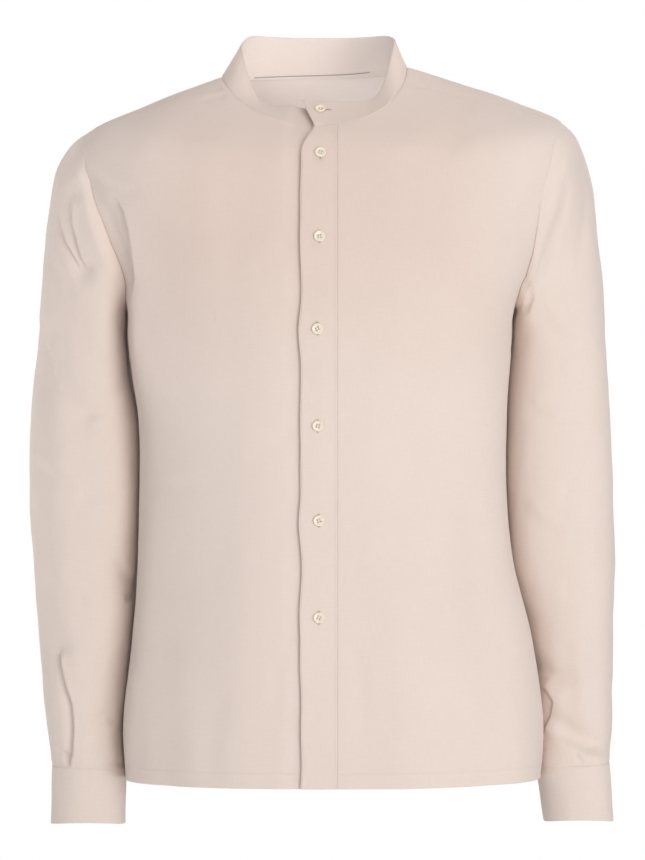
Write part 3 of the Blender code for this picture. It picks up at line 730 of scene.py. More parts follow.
class CuffCloth(BandCloth):
    """A cuff's surface."""

    side_dip = 3 * MM

    def __init__(self, side: Side, top: Section, end: Section) -> None:
        """Takes the side, and the sections at the seam and at the free edge."""
        self.outwards = -float(side.value)
        self.top, self.end = np.array(top, float), np.array(end, float)

    def surface(self, first: Array, second: Array) -> Array:
        """The surface's points, in metres; the free edge dips at both sides."""
        first = np.asarray(first, float)
        points = tube_points(mix(self.top, self.end, first[..., None]), second)
        points[..., 2] -= self.side_dip * np.clip(first, 0, 1) * np.cos(TURN * second) ** 2
        return points


class CollarCloth(BandCloth):
    """The collar band's surface, by height and the body's turn."""

    top = np.array(COLLAR_TOP, float)
    side_reach = (-0.9, 0.9)  # cosines of turn from the height of one side to that of the other
    front_reach = (0.08, 0.85)  # sines of turn from the sides' height to the front's
    back_reach = (-0.22, 0.62)
    under_drop = -4.0  # by which the under end's edge is lower, in millimetres
    drop_reach = (0.3, 0.8)

    def top_edge(self, turn: Array) -> Array:
        """The band's top edge: it falls towards the front and rises towards the back."""
        x, y = BODY.plan(self.top, turn)
        side = mix(self.top[2], self.top[3], smooth(*self.side_reach, np.cos(turn)))
        back = np.sin(turn)
        z = side + (self.top[7] - side) * smooth(*self.back_reach, back)
        z += (self.top[5] - side) * smooth(*self.front_reach, -back)
        z += np.where(turn > -math.pi, self.under_drop * smooth(*self.drop_reach, -back), 0.0)
        return np.stack([x, y, z], axis=-1) * MM

    def surface(self, first: Array, second: Array) -> Array:
        """The surface's points, in metres."""
        first = np.asarray(first, float)
        foot = BODY.surface(np.full(second.shape, NECK), second)
        return mix(foot, self.top_edge(second), first[..., None])


# ---- Finishes ----

Output = bpy.types.NodeSocket
Socket = float | tuple[float, ...] | Output


class Nodes:
    """Makes and links the nodes of one material, or of the world."""

    def __init__(self, owner: Material | bpy.types.World) -> None:
        """Starts on the nodes of a new material or world."""
        owner.use_nodes = True
        self.owner, self.tree = owner, owner.node_tree

    def add(
        self, kind: str, inputs: dict[str | int, Socket] | None = None, **options: object
    ) -> bpy.types.Node:
        """Adds a node.

        Args:
            kind: The node's type, without its ShaderNode prefix.
            inputs: Values or sockets for its inputs.
            options: The node's own properties.

        Returns:
            The node.
        """
        node = self.tree.nodes.new(f"ShaderNode{kind}")
        for name, value in options.items():
            setattr(node, name, value)
        for name, value in (inputs or {}).items():
            self.put(node, name, value)
        return node

    def put(self, node: bpy.types.Node, name: str | int, value: Socket) -> None:
        """Gives a node's input a value or a link."""
        if isinstance(value, Output):
            self.tree.links.new(value, node.inputs[name])
        else:
            node.inputs[name].default_value = value

    def maths(self, operation: str, a: Socket, b: Socket = 0.0) -> Output:
        """The result of a Math node on two values."""
        return self.add("Math", {0: a, 1: b}, operation=operation).outputs[0]

    def noise(self, place: Socket, scale: float, detail: float, distortion: float = 0.0) -> Output:
        """Soft noise at a place."""
        inputs = {"Vector": place, "Scale": scale, "Detail": detail, "Distortion": distortion}
        return self.add("TexNoise", inputs).outputs[0]

    def ramp(self, value: Socket, low: Point, high: Point, span: Pair) -> Output:
        """A colour that runs from low to high as a value crosses a span."""
        node = self.add("ValToRGB", {"Fac": value})
        for stop, place, colour in zip(node.color_ramp.elements, span, (low, high)):
            stop.position, stop.color = place, (*colour, 1.0)
        return node.outputs["Color"]


@dataclass(frozen=True)
class Finish:
    """How a surface looks."""

    name: str
    colour: Point

    def inputs(self, nodes: Nodes) -> dict[str, Socket]:
        """Makes the nodes, and gives the shader's inputs."""
        raise NotImplementedError

    def make(self) -> Material:
        """Makes the material."""
        nodes = Nodes(bpy.data.materials.new(self.name))
        shader = nodes.tree.nodes["Principled BSDF"]
        for name, value in self.inputs(nodes).items():
            nodes.put(shader, name, value)
        return nodes.owner


@dataclass(frozen=True)
class ClothFinish(Finish):
    """Fine plain-woven cloth with soft slubs, and a band of painted shade across the chest; its pattern
    follows the grain through the UV map, in metres.
    """

    slub_colour: Point
    thread_pitch: float = 0.42 * MM
    roughness: float = 0.88
    sheen: float = 0.22
    sheen_roughness: float = 0.45
    specular: float = 0.28
    bump: float = 0.28
    bump_depth: float = 0.25 * MM
    slub_scales: Pair = (1400.0, 60.0)  # across a slub and along it
    blush: Point = (0.965, 0.92, 0.905)  # painted shade: what the colour is multiplied by across the chest, darker and warmer
    chest_shade_drop: float = 0.13  # how far below the neck the painted shade band's middle lies
    chest_shade_reach: float = 0.19
    chest_shade_half: float = 0.10

    def with_painted_chest_shade(self, nodes: Nodes, colour: Socket) -> Socket:
        """The colour with painted shade: darker and warmer in a soft band across the chest."""
        x, _, z = nodes.add("SeparateXYZ", {0: nodes.add("TexCoord").outputs["Object"]}).outputs
        height = nodes.maths("ABSOLUTE", nodes.maths("ADD", z, self.chest_shade_drop))
        across = nodes.maths("SUBTRACT", nodes.maths("ABSOLUTE", x), self.chest_shade_half)
        rise = nodes.maths("DIVIDE", height, self.chest_shade_reach)
        aside = nodes.maths("DIVIDE", across, self.chest_shade_half)
        # Painted shade: the colour is darkened and warmed most in the middle of the chest band.
        chest_shade_tint = nodes.ramp(nodes.maths("MAXIMUM", rise, aside), self.blush, (1.0, 1.0, 1.0), (0.2, 1.0))
        mixed = nodes.add("Mix", {0: 1.0, 6: colour, 7: chest_shade_tint}, data_type="RGBA", blend_type="MULTIPLY")
        return mixed.outputs[2]

    def inputs(self, nodes: Nodes) -> dict[str, Socket]:
        """Makes the nodes, and gives the shader's inputs."""
        grain = nodes.add("UVMap", uv_map="grain").outputs["UV"]
        across, along, _ = nodes.add("SeparateXYZ", {0: grain}).outputs
        waves = [nodes.maths("MULTIPLY", axis, math.pi / self.thread_pitch) for axis in (across, along)]
        threads = [nodes.maths("ABSOLUTE", nodes.maths("SINE", wave)) for wave in waves]
        over = nodes.add("TexChecker", {"Vector": grain, "Scale": 1 / self.thread_pitch}).outputs["Fac"]
        weave = nodes.add("Mix", {"Factor": over, 2: threads[0], 3: threads[1]}).outputs[0]
        slubs = []
        for scales in (self.slub_scales, self.slub_scales[::-1]):
            stretched = nodes.add("Mapping", {"Vector": grain, "Scale": (*scales, 1.0)}).outputs[0]
            slubs.append(nodes.noise(stretched, 1.0, 3.0))
        slub = nodes.maths("MULTIPLY", nodes.maths("ADD", *slubs), 0.5)
        cloud = nodes.noise(grain, 9.0, 2.0)
        tone = nodes.maths("ADD", nodes.maths("MULTIPLY", slub, 0.75), nodes.maths("MULTIPLY", cloud, 0.25))
        colour = nodes.ramp(tone, self.slub_colour, self.colour, (0.38, 0.58))
        height = nodes.maths("ADD", nodes.maths("MULTIPLY", weave, 0.5), nodes.maths("MULTIPLY", slub, 0.9))
        bump = nodes.add("Bump", {"Height": height, "Strength": self.bump, "Distance": self.bump_depth})
        return {
            "Base Color": self.with_painted_chest_shade(nodes, colour),
            "Normal": bump.outputs[0],
            "Roughness": self.roughness,
            "Sheen Weight": self.sheen,
            "Sheen Roughness": self.sheen_roughness,
            "Specular IOR Level": self.specular,
        }


@dataclass(frozen=True)
class ThreadFinish(Finish):
    """Twisted sewing thread, with painted shade in the grooves of its twist."""

    # The colour of the painted shade in the twist's grooves.
    shade: Point
    twists: float = 900.0
    bump_depth: float = 0.1 * MM

    def inputs(self, nodes: Nodes) -> dict[str, Socket]:
        """Makes the nodes, and gives the shader's inputs."""
        inputs = {"Vector": nodes.add("TexCoord").outputs["Object"], "Scale": self.twists, "Distortion": 1.0}
        twist = nodes.add("TexWave", inputs, bands_direction="DIAGONAL").outputs["Fac"]
        bump = nodes.add("Bump", {"Height": twist, "Strength": 0.4, "Distance": self.bump_depth})
        # Darker where the twist's bump is low: painted shade in its grooves.
        return {
            "Base Color": nodes.ramp(twist, self.shade, self.colour, (0.1, 0.7)),
            "Normal": bump.outputs[0],
            "Roughness": 0.62,
            "Sheen Weight": 0.15,
        }


@dataclass(frozen=True)
class ButtonFinish(Finish):
    """Cream shell with soft cloudy layers and a polished face."""

    vein: Point

    def inputs(self, nodes: Nodes) -> dict[str, Socket]:
        """Makes the nodes, and gives the shader's inputs."""
        cloud = nodes.noise(nodes.add("TexCoord").outputs["Object"], 260.0, 4.0, 1.6)
        return {
            "Base Color": nodes.ramp(cloud, self.vein, self.colour, (0.3, 0.62)),
            "Roughness": nodes.add("MapRange", {"Value": cloud, "To Min": 0.2, "To Max": 0.36}).outputs[0],
            "Coat Weight": 0.35,
            "Coat Roughness": 0.15,
        }


@dataclass(frozen=True)
class StudioFinish(Finish):
    """Pale seamless paper."""

    mottle: float = 0.985

    def inputs(self, nodes: Nodes) -> dict[str, Socket]:
        """Makes the nodes, and gives the shader's inputs."""
        grain = nodes.noise(nodes.add("TexCoord").outputs["Object"], 3.0, 5.0)
        darker = tuple(value * self.mottle for value in self.colour)
        return {
            "Base Color": nodes.ramp(grain, darker, self.colour, (0.3, 0.7)),
            "Roughness": 0.95,
            "Specular IOR Level": 0.1,
        }


SHIRT_CLOTH = ClothFinish("fine_shirt_cloth", (0.80, 0.695, 0.638), (0.77, 0.662, 0.604))
# Painted shade: a dark brown strip that stands for the shadow inside each buttonhole's slit.
SLIT_PAINTED_SHADE = ClothFinish("buttonhole_slit", (0.30, 0.22, 0.17), (0.24, 0.17, 0.13))
# Painted shadow: a dark bluish strip that stands for the shadow line at the back neck seam inside the collar.
INNER_SEAM_PAINTED_SHADOW = ClothFinish("inner_seam_painted_shadow", (0.40, 0.385, 0.41), (0.33, 0.32, 0.345))
# The second colour of each thread is painted shade in its twist's grooves.
THREAD = ThreadFinish("sewing_thread", (0.80, 0.69, 0.625), (0.70, 0.59, 0.525))
BUTTON_THREAD = ThreadFinish("button_thread", (0.74, 0.66, 0.56), (0.52, 0.45, 0.37))
SHELL = ButtonFinish("cream_shell", (0.92, 0.845, 0.72), (0.83, 0.735, 0.59))
PAPER = StudioFinish("studio_paper", (0.90, 0.90, 0.895))


class Workroom:
    """Holds one material of each finish."""

    def __init__(self) -> None:
        """Starts with none made."""
        self.made: dict[str, Material] = {}

    def material(self, finish: Finish) -> Material:
        """The finish's material, made when it is first asked for."""
        if finish.name not in self.made:
            self.made[finish.name] = finish.make()
        return self.made[finish.name]


# ---- Meshes ----


def new_piece(name: str, vertices: Array, faces: Sequence[Sequence[int]], material: Material) -> Piece:
    """A smooth-shaded mesh object in the scene."""
    data = bpy.data.meshes.new(name)
    data.from_pydata(np.asarray(vertices).reshape(-1, 3).tolist(), [], [list(face) for face in faces])
    data.shade_smooth()
    data.materials.append(material)
    piece = bpy.data.objects.new(name, data)
    bpy.context.scene.collection.objects.link(piece)
    return piece


def circle(
    radius: float, height: float, sides: int, middle: Sequence[float] = (0.0, 0.0), start: float = 0.0
) -> list[Point]:
    """Points round a level circle, from a starting angle."""
    x, y = middle[:2]
    angles = start + np.linspace(0, TURN, sides, endpoint=False)
    return [(x + radius * math.cos(a), y + radius * math.sin(a), height) for a in angles]


def grid_faces(rows: int, columns: int, flip: bool) -> Array:
    """The quads of a grid of points."""
    index = np.arange(rows * columns).reshape(rows, columns)
    corners = [index[:-1, :-1], index[:-1, 1:], index[1:, 1:], index[1:, :-1]]
    faces = np.stack(corners, axis=-1).reshape(-1, 4)
    return faces[:, ::-1] if flip else faces


@dataclass
class Panel:
    """A piece of cloth between two curves of a surface, with its four edges turned as its laps say.

    Start and end give the second parameter at each value of the first.
    """

    name: str
    cloth: Cloth
    low: float
    high: float
    start: Edge
    end: Edge
    laps: tuple[Lap, Lap, Lap | Changing, Lap | Changing]  # at low, high, start and end
    thickness: float
    pitch: float = 3.4 * MM
    lift: Callable[[Array, Array, Array], Array] | None = None
    crowding: Line = ((0.0, 0.0), (1.0, 1.0))  # shares of the points across, and of the width they cover
    samples_along: ClassVar[int] = 600
    samples_across: ClassVar[int] = 160

    def spread(self, length: Array, first: Array, last: Array, count: int) -> tuple[Array, Array]:
        """Distances from the start for each line of points, and how far each is turned.

        Args:
            length: The panel's length there, in metres, one a row.
            first: The edge profile at the start, one a row.
            last: The edge profile at the end, one a row.
            count: How many points lie between the two profiles.

        Returns:
            Distances and offsets in metres, one row each.
        """
        near, far = first[..., 0] * MM, length[:, None] - last[:, ::-1, 0] * MM
        share = np.interp(np.linspace(0, 1, count + 2)[1:-1], *np.array(self.crowding).T)
        between = near[:, -1:] + (far[:, :1] - near[:, -1:]) * share
        flat = np.zeros(between.shape)
        return np.hstack([near, between, far]), np.hstack([first[..., 1] * MM, flat, last[:, ::-1, 1] * MM])

    @staticmethod
    def profile(lap: Lap | Changing, first: Array) -> Array:
        """The edge profile at each value of the first parameter."""
        if isinstance(lap, Changing):
            return lap.profile(first)
        return np.repeat(np.array(EDGE_PROFILES[lap])[None], len(first), axis=0)

    def row_values(self) -> tuple[Array, Array]:
        """The first parameter of each row, and how far its row is turned at the low and high edges."""
        dense = np.linspace(self.low, self.high, self.samples_along)
        walked = walk(self.cloth.surface(dense, (self.start(dense) + self.end(dense)) / 2))
        low, high = (self.profile(lap, dense[:1]) for lap in self.laps[:2])
        count = max(int(walked[-1] / self.pitch), 3)
        near, far = low[0, :, 0] * MM, walked[-1] - high[0, ::-1, 0] * MM
        distance = np.concatenate([near, np.linspace(near[-1], far[0], count + 2)[1:-1], far])
        turned = np.concatenate([low[0, :, 1], np.zeros(count), high[0, ::-1, 1]]) * MM
        value = np.interp(distance, walked, dense)
        rate_low = (dense[1] - dense[0]) / walked[1]
        rate_high = (dense[-1] - dense[-2]) / (walked[-1] - walked[-2])
        value = np.where(distance < 0, self.low + distance * rate_low, value)
        value = np.where(distance > walked[-1], self.high + (distance - walked[-1]) * rate_high, value)
        return value, turned

    def build(self, material: Material) -> Piece:
        """Lays the points, and makes the shell.

        Args:
            material: The cloth.

        Returns:
            The piece.
        """
        rows, turned_rows = self.row_values()
        inside = np.clip(rows, self.low, self.high)
        start, end = self.start(inside), self.end(inside)
        share = np.linspace(0, 1, self.samples_across)
        lines = self.cloth.surface(inside[:, None] + 0 * share, mix(start[:, None], end[:, None], share))
        steps = np.linalg.norm(np.diff(lines, axis=1), axis=2)
        walked = np.hstack([np.zeros((len(rows), 1)), np.cumsum(steps, axis=1)])
        width = walked[:, -1]
        first, last = (self.profile(lap, inside) for lap in self.laps[2:])
        count = max(int(np.median(width) / self.pitch), 3)
        distance, turned = self.spread(width, first, last, count)
        shares = np.stack([np.interp(d, w, share) for d, w in zip(distance, walked)])
        shares = np.where(distance < 0, distance / np.maximum(walked[:, 1:2], 1e-9) * share[1], shares)
        over = (distance - width[:, None]) / np.maximum(width - walked[:, -2], 1e-9)[:, None] * share[1]
        shares = np.where(distance > width[:, None], 1 + over, shares)
        second = mix(start[:, None], end[:, None], shares)
        edge_rows = np.broadcast_to(turned_rows[:, None], turned.shape)
        sunk = (edge_rows < 0) | (turned < 0)
        both = np.where(sunk, np.minimum(edge_rows, turned), np.maximum(edge_rows, turned))
        first_grid = np.broadcast_to(rows[:, None], second.shape)
        if self.lift:
            both = both + self.lift(first_grid, second, self.cloth.surface(first_grid, second))
        points, _ = self.cloth.place(first_grid, second, both)
        piece = new_piece(self.name, points, grid_faces(*second.shape, self.cloth.outwards < 0), material)
        self.map_grain(piece, points, distance)
        wall = piece.modifiers.new("Thickness", "SOLIDIFY")
        wall.thickness, wall.offset = self.thickness, -1
        return piece

    @staticmethod
    def map_grain(piece: Piece, points: Array, distance: Array) -> None:
        """Maps the weave in metres: across by the distance from the start, and along by the middle line."""
        along = walk(points[:, points.shape[1] // 2])
        flat = np.stack([distance, np.broadcast_to(along[:, None], distance.shape)], axis=-1).reshape(-1, 2)
        layer = piece.data.uv_layers.new(name="grain")
        corner = np.zeros(len(piece.data.loops), int)
        piece.data.loops.foreach_get("vertex_index", corner)
        layer.data.foreach_set("uv", flat[corner].astype(np.float32).ravel())


@dataclass(frozen=True)
class Stitch:
    """The size of one stitch of thread, in metres."""

    length: float = 2.1 * MM
    pitch: float = 2.9 * MM
    radius: float = 0.21 * MM


def square_tube_faces(rings: int) -> Array:
    """The quads of a closed tube of four-cornered rings."""
    faces = []
    for ring in range(rings - 1):
        for k in range(4):
            a, b = ring * 4 + k, ring * 4 + (k + 1) % 4
            faces.append((a, b, b + 4, a + 4))
    last = 4 * (rings - 1)
    return np.array([*faces, (3, 2, 1, 0), (last, last + 1, last + 2, last + 3)])


def stitch_mesh(centres: Array, runs: Array, normals: Array, stitch: Stitch) -> Mesh:
    """Small capsules of thread that sink into the cloth at both ends.

    Args:
        centres: The stitches' middles.
        runs: Unit vectors along them.
        normals: Unit normals of the cloth there.
        stitch: Their size.

    Returns:
        Vertices and quads.
    """
    sides = np.cross(normals, runs)
    sections = ((-0.5, 0.35, -0.8), (-0.3, 1.0, 0.1), (0.3, 1.0, 0.1), (0.5, 0.35, -0.8))
    corners = ((1.0, 0.0), (0.0, 1.0), (-1.0, 0.0), (0.0, -1.0))
    rings = []
    for along, size, rise in sections:
        for side, up in corners:
            out = side * size * stitch.radius * sides + (up * size * 0.8 + rise) * stitch.radius * normals
            rings.append(centres + along * stitch.length * runs + out)
    vertices = np.stack(rings, axis=1)
    every = square_tube_faces(len(sections))[None] + (np.arange(len(centres)) * len(rings))[:, None, None]
    return vertices.reshape(-1, 3), every.reshape(-1, 4)


@dataclass
class Seam:
    """A row of stitches along a line on a cloth."""

    cloth: Cloth
    first: Edge
    second: Edge
    lift: float
    stitch: ClassVar[Stitch] = Stitch()
    samples: ClassVar[int] = 500

    def mesh(self) -> Mesh:
        """The stitches' vertices and quads."""
        t = np.linspace(0, 1, self.samples)
        line, normals = self.cloth.place(self.first(t), self.second(t), self.lift)
        walked, pitch = walk(line), self.stitch.pitch
        at = np.arange(pitch / 2, walked[-1] - pitch / 2, pitch)
        centres, ahead = (at_places(places, walked, line) for places in (at, at + 0.5 * MM))
        return stitch_mesh(centres, unit(ahead - centres), unit(at_places(at, walked, normals)), self.stitch)


def sew(name: str, meshes: Sequence[Mesh], material: Material) -> Piece:
    """Joins several meshes into one piece, riding on the shirt."""
    vertices, faces, start = [], [], 0
    for points, quads in meshes:
        vertices.append(points)
        faces.extend((quads + start).tolist())
        start += len(points)
    piece = new_piece(name, np.concatenate(vertices), faces, material)
    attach(piece, "root")
    return piece


@dataclass(frozen=True)
class Buttonhole:
    """A worked buttonhole: satin stitches round a narrow slit, whose opening is a dark strip of painted shade.
    """

    length: float = 11.4 * MM
    bar_gap: float = 0.5 * MM  # from the slit's end to the bar across it
    # In millimetres: from the slit to each row of stitches, half a bar, half the slit's width and its lift.
    row_gap: float = 0.85
    bar_half: float = 1.2
    slit_half: float = 0.22
    slit_lift: float = 0.12
    stitch: Stitch = field(default_factory=lambda: Stitch(length=1.5 * MM, pitch=0.5 * MM, radius=0.2 * MM))

    def work(self, cloth: Cloth, place: Spot, ahead: Spot, lift: float) -> tuple[Mesh, Mesh]:
        """The satin stitches, and the slit as a dark strip of painted shade.

        Args:
            cloth: The cloth that it is cut in.
            place: Both parameters of its middle.
            ahead: Both parameters of a place that it runs towards.
            lift: Metres out from the cloth.

        Returns:
            Two meshes, each of vertices and quads.
        """
        middles, normals = cloth.place(*place, lift)
        run = unit(cloth.place(*ahead, lift)[0] - middles)[0]
        middle, normal = middles[0], normals[0]
        side, half = np.cross(normal, run), self.length / 2
        along = np.arange(-half, half + 1e-9, self.stitch.pitch)
        rows = [middle + run * a + side * sign * self.row_gap * MM for sign in (-1, 1) for a in along]
        across = np.linspace(-self.bar_half, self.bar_half, 6) * MM
        bars = [middle + run * end * (half + self.bar_gap) + side * a for end in (-1, 1) for a in across]
        runs = np.array([side] * len(rows) + [run] * len(bars))
        up = np.repeat(normal[None], len(runs), axis=0)
        satin = stitch_mesh(np.array(rows + bars), runs, up, self.stitch)
        # The slit is a dark strip just above the cloth: painted shade in the opening.
        low, high = -self.slit_half, self.slit_half
        corners = ((-half, low), (half, low), (half, high), (-half, high))
        slit = np.array([middle + run * a + side * b * MM + normal * self.slit_lift * MM for a, b in corners])
        return satin, (slit, np.array([[0, 1, 2, 3]]))


# ---- Sub-assemblies ----


@dataclass(frozen=True)
class Cut:
    """How a panel is cut: its flat width and length and area, in metres."""

    width: float
    length: float
    area: float


@dataclass
class SubAssembly:
    """Pieces that are made and dressed together."""

    room: Workroom
    pieces: list[Piece] = field(default_factory=list)

    def cover(self, piece: Piece, node: str, cut: Cut, held: str, rests_on: Sequence[str]) -> None:
        """Makes a cloth piece stand for its node: hides the solid, and hangs the cloth on the root.

        Args:
            piece: The cloth.
            node: The solid that it stands for.
            cut: Its flat size; not used.
            held: How it is held; not used.
            rests_on: What it hangs from or lies on; not used.
        """
        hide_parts(node)
        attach(piece, "root")
        self.pieces.append(piece)

    def sew_thread(self, name: str, meshes: Sequence[Mesh]) -> None:
        """Sews thread as one piece."""
        piece = sew(name, meshes, self.room.material(THREAD))
        self.pieces.append(piece)

    def stitch(self, name: str, seams: Sequence[Seam]) -> None:
        """Sews rows of stitches as one piece."""
        self.sew_thread(name, [seam.mesh() for seam in seams])

    def sew_buttonholes(self, name: str, slit_name: str, worked: Sequence[tuple[Mesh, Mesh]]) -> None:
        """Sews the stitches of buttonholes as one piece, and the painted shade of their slits as another."""
        satin, slits = zip(*worked)
        self.sew_thread(name, satin)
        self.pieces.append(sew(slit_name, slits, self.room.material(SLIT_PAINTED_SHADE)))


def constant(value: float) -> Edge:
    """The same value everywhere."""
    return lambda at: np.full(np.shape(at), float(value))


def between(low: float, high: float) -> Edge:
    """A value that runs from low to high."""
    return lambda at: mix(low, high, np.asarray(at, float))


@dataclass
class BodyPanels(SubAssembly):
    """The two fronts, the back and the yoke."""

    thickness: float = 0.5 * MM
    under_edge: float = 15.0 * MM  # the x of the right front's hidden edge
    under_flat: float = -20.0 * MM
    lap_drop: float = 2.6 * MM
    lap_ramp: float = 18 * MM
    hem_depth: float = 20 * MM
    hem_spacing: float = 60 * MM  # between the table's two lowest rings
    yoke_inset: float = 0.045  # levels above the back seam
    yoke_turn: float = 0.017
    yoke_ends: Pair = (TIP + 0.1, NECK - 0.1)
    yoke_lift: float = 0.45 * MM

    def under_lap(self, first: Array, second: Array, points: Array) -> Array:
        """How far the right front sinks to pass under the placket."""
        return -self.lap_drop * smooth(self.under_flat - self.lap_ramp, self.under_flat, points[..., 0])

    @staticmethod
    def outer(side: Side, back: bool) -> Edge:
        """The turn of a panel's outer edge at each level, counted so that the panel's turns rise."""
        whole = -TURN if side is Side.RIGHT and not back else 0.0
        return lambda level: BODY.turn_at_y(level, edge_depth(level, back), side) + whole

    def build(self) -> None:
        """Makes the panels and their stitching."""
        cloth = self.room.material(SHIRT_CLOTH)
        shoulder = Changing(Lap.OVER, Lap.UNDER, TIP)
        armhole = Changing(Lap.UNDER, Lap.OVER, ARMPIT + 0.1)
        left_edge: Edge = lambda level: BODY.turn_at_x(level, PLACKET_HALF)
        right_edge: Edge = lambda level: BODY.turn_at_x(level, self.under_edge)
        seam_level = float(armhole_level(YOKE_STEP))
        front_edges = [self.outer(side, False) for side in Side]
        back_edges = [self.outer(side, True) for side in Side]
        rows = (
            (
                "front_left", HEM, NECK, left_edge, front_edges[0], (Lap.FREE, Lap.SUNK, Lap.FLAT, shoulder),
                None, Cut(0.255, 0.715, 0.147), "yoke_cloth",
            ),
            (
                "front_right", HEM, NECK, front_edges[1], right_edge,
                (Lap.FREE, Lap.SUNK, shoulder, Lap.FREE), self.under_lap,
                Cut(0.285, 0.715, 0.168), "yoke_cloth",
            ),
            (
                "back", HEM, seam_level, *back_edges, (Lap.FREE, Lap.UNDER, armhole, armhole),
                None, Cut(0.56, 0.60, 0.31), "yoke_cloth",
            ),
            (
                "yoke", seam_level, NECK, *back_edges, (Lap.OVER, Lap.SUNK, Lap.OVER, Lap.OVER),
                None, Cut(0.52, 0.19, 0.082), "collar_band_cloth",
            ),
        )
        for node, low, high, start, end, laps, lift, cut, holder in rows:
            panel = Panel(f"{node}_cloth", BODY, low, high, start, end, laps, self.thickness, lift=lift)
            self.cover(panel.build(cloth), node, cut, "hung", [holder])
        self.sew_hem()
        self.sew_yoke(seam_level)

    def sew_hem(self) -> None:
        """Stitches the hem: the right front, the left front and the back."""
        hem = np.array([HEM + self.hem_depth / self.hem_spacing])
        right_side = float(self.outer(Side.RIGHT, False)(hem)[0])
        right_end, left_end = (
            float(BODY.turn_at_x(hem, x)[0]) for x in (-PLACKET_HALF, PLACKET_HALF)
        )
        spans = ((right_side, right_end), (left_end, 0.0), (0.0, math.pi))
        self.stitch("hem_stitches", [
            Seam(BODY, constant(float(hem[0])), between(*span), 0.1 * MM) for span in spans
        ])

    def sew_yoke(self, seam_level: float) -> None:
        """Stitches the yoke's back seam and both its front edges."""
        above, levels = seam_level + self.yoke_inset, between(*self.yoke_ends)
        turns = [float(self.outer(side, True)(np.array([above]))[0]) for side in Side]
        seams = [Seam(BODY, constant(above), between(turns[0] + 0.01, turns[1] - 0.01), self.yoke_lift)]
        for side in Side:

            def edge(t: Array, side: Side = side) -> Array:
                """The yoke's front edge, a stitch's width in."""
                level = levels(t)
                return BODY.turn_at_y(level, edge_depth(level, True), side) + self.yoke_turn * side.value

            seams.append(Seam(BODY, levels, edge, self.yoke_lift))
        self.stitch("yoke_stitches", seams)


@dataclass(frozen=True)
class FrontButton:
    """Where one front button sits, in millimetres from the middle and from the origin's height."""

    x: float
    z: float

    def on_body(self) -> Spot:
        """The body's level and turn there."""
        levels, x = np.linspace(HEM, NECK, 3000), self.x * MM
        heights = BODY.surface(levels, BODY.turn_at_x(levels, x))[:, 2]
        level = np.array([np.interp(self.z * MM, heights, levels)])
        return level, BODY.turn_at_x(level, x)


FRONT_BUTTONS = tuple(
    FrontButton(x, z)
    for x, z in ((1.5, -37), (1.5, -83), (0.5, -165), (-1.5, -254), (-1, -348), (0, -440), (0, -534))
)


@dataclass
class Placket(SubAssembly):
    """The button stand of the left front, which the right front's edge lies under."""

    top_edge: float = -5.0 * MM  # the x of its free edge at the neck
    turn_in: float = 3.5  # levels below the neck over which its free edge runs in
    proud: float = 0.9 * MM
    thickness: float = 0.9 * MM
    inner_settle: float = 0.45 * MM  # how much less it stands off at its inner edge
    swell: float = 1.5 * MM  # how far the free edge bulges at each button
    stitch_inset: float = 1.6 * MM
    wave_reach: Pair = (10 * MM, -16 * MM)  # x from where its waves start to where they are full
    wave_height: float = 0.7 * MM
    pull_height: float = 12 * MM  # how far round a button the cloth is drawn in
    pull_width: float = 11 * MM
    pull_depth: float = 0.35 * MM
    settle_reach: Pair = (2 * MM, 16 * MM)
    bulge_reach: float = 20 * MM
    stitch_ends: Pair = (HEM + 0.02, NECK - 0.05)
    hole_lift: float = 0.15 * MM

    def free_edge(self, level: Array) -> Array:
        """The free edge's x, in metres."""
        rise = smooth(0, 1, 1 - (NECK - level) / self.turn_in)
        height = BODY.surface(level, np.full(np.shape(level), -math.pi / 2))[..., 2]
        bulge = sum(bell((height - place.z * MM) / self.bulge_reach) for place in FRONT_BUTTONS[2:])
        waver = 0.5 * np.sin(height * 41) + 0.4 * np.sin(height * 97 + 1.3)
        return mix(-PLACKET_HALF, self.top_edge, rise) - (bulge * self.swell + waver * MM) * (1 - rise)

    def raise_edge(self, first: Array, second: Array, points: Array) -> Array:
        """How far the placket stands off: most at its free edge, and less where a button holds it."""
        x, z = points[..., 0], points[..., 2]
        near = smooth(*self.wave_reach, x)
        pull = sum(
            bell(np.hypot((z - place.z * MM) / self.pull_height, (x - place.x * MM) / self.pull_width))
            for place in FRONT_BUTTONS[1:]
        )
        wave = 0.5 + 0.5 * np.sin(z * 67 + 0.6)
        settled = smooth(*self.settle_reach, x) * self.inner_settle
        return self.proud + self.wave_height * near * wave - self.pull_depth * pull - settled

    def build(self) -> None:
        """Makes the placket, its stitching and its buttonholes."""
        cloth = self.room.material(SHIRT_CLOTH)
        start: Edge = lambda level: BODY.turn_at_x(level, self.free_edge(level))
        end: Edge = lambda level: BODY.turn_at_x(level, PLACKET_HALF)
        placket = Panel(
            "placket_left_cloth", BODY, HEM, NECK, start, end, (Lap.FREE, Lap.SUNK, Lap.FREE, Lap.FREE),
            self.thickness, pitch=2.2 * MM, lift=self.raise_edge,
        )
        cut = Cut(0.075, 0.715, 0.0245)
        self.cover(placket.build(cloth), "placket_left", cut, "hung", ["front_left_cloth"])

        levels = between(*self.stitch_ends)
        free: Edge = lambda t: BODY.turn_at_x(levels(t), self.free_edge(levels(t)) + self.stitch_inset)
        inner: Edge = lambda t: BODY.turn_at_x(levels(t), PLACKET_HALF - self.stitch_inset)
        self.stitch("placket_stitches", [
            Seam(BODY, levels, free, self.proud + 0.75 * MM),
            Seam(BODY, levels, inner, self.proud - self.inner_settle + 0.1 * MM),
        ])
        worked = []
        for place in FRONT_BUTTONS[1:]:
            level, turn = place.on_body()
            spots = (level, turn), (level + 0.02, turn)
            worked.append(Buttonhole().work(BODY, *spots, self.proud + self.hole_lift))
        self.sew_buttonholes("placket_buttonholes", "placket_slits", worked)


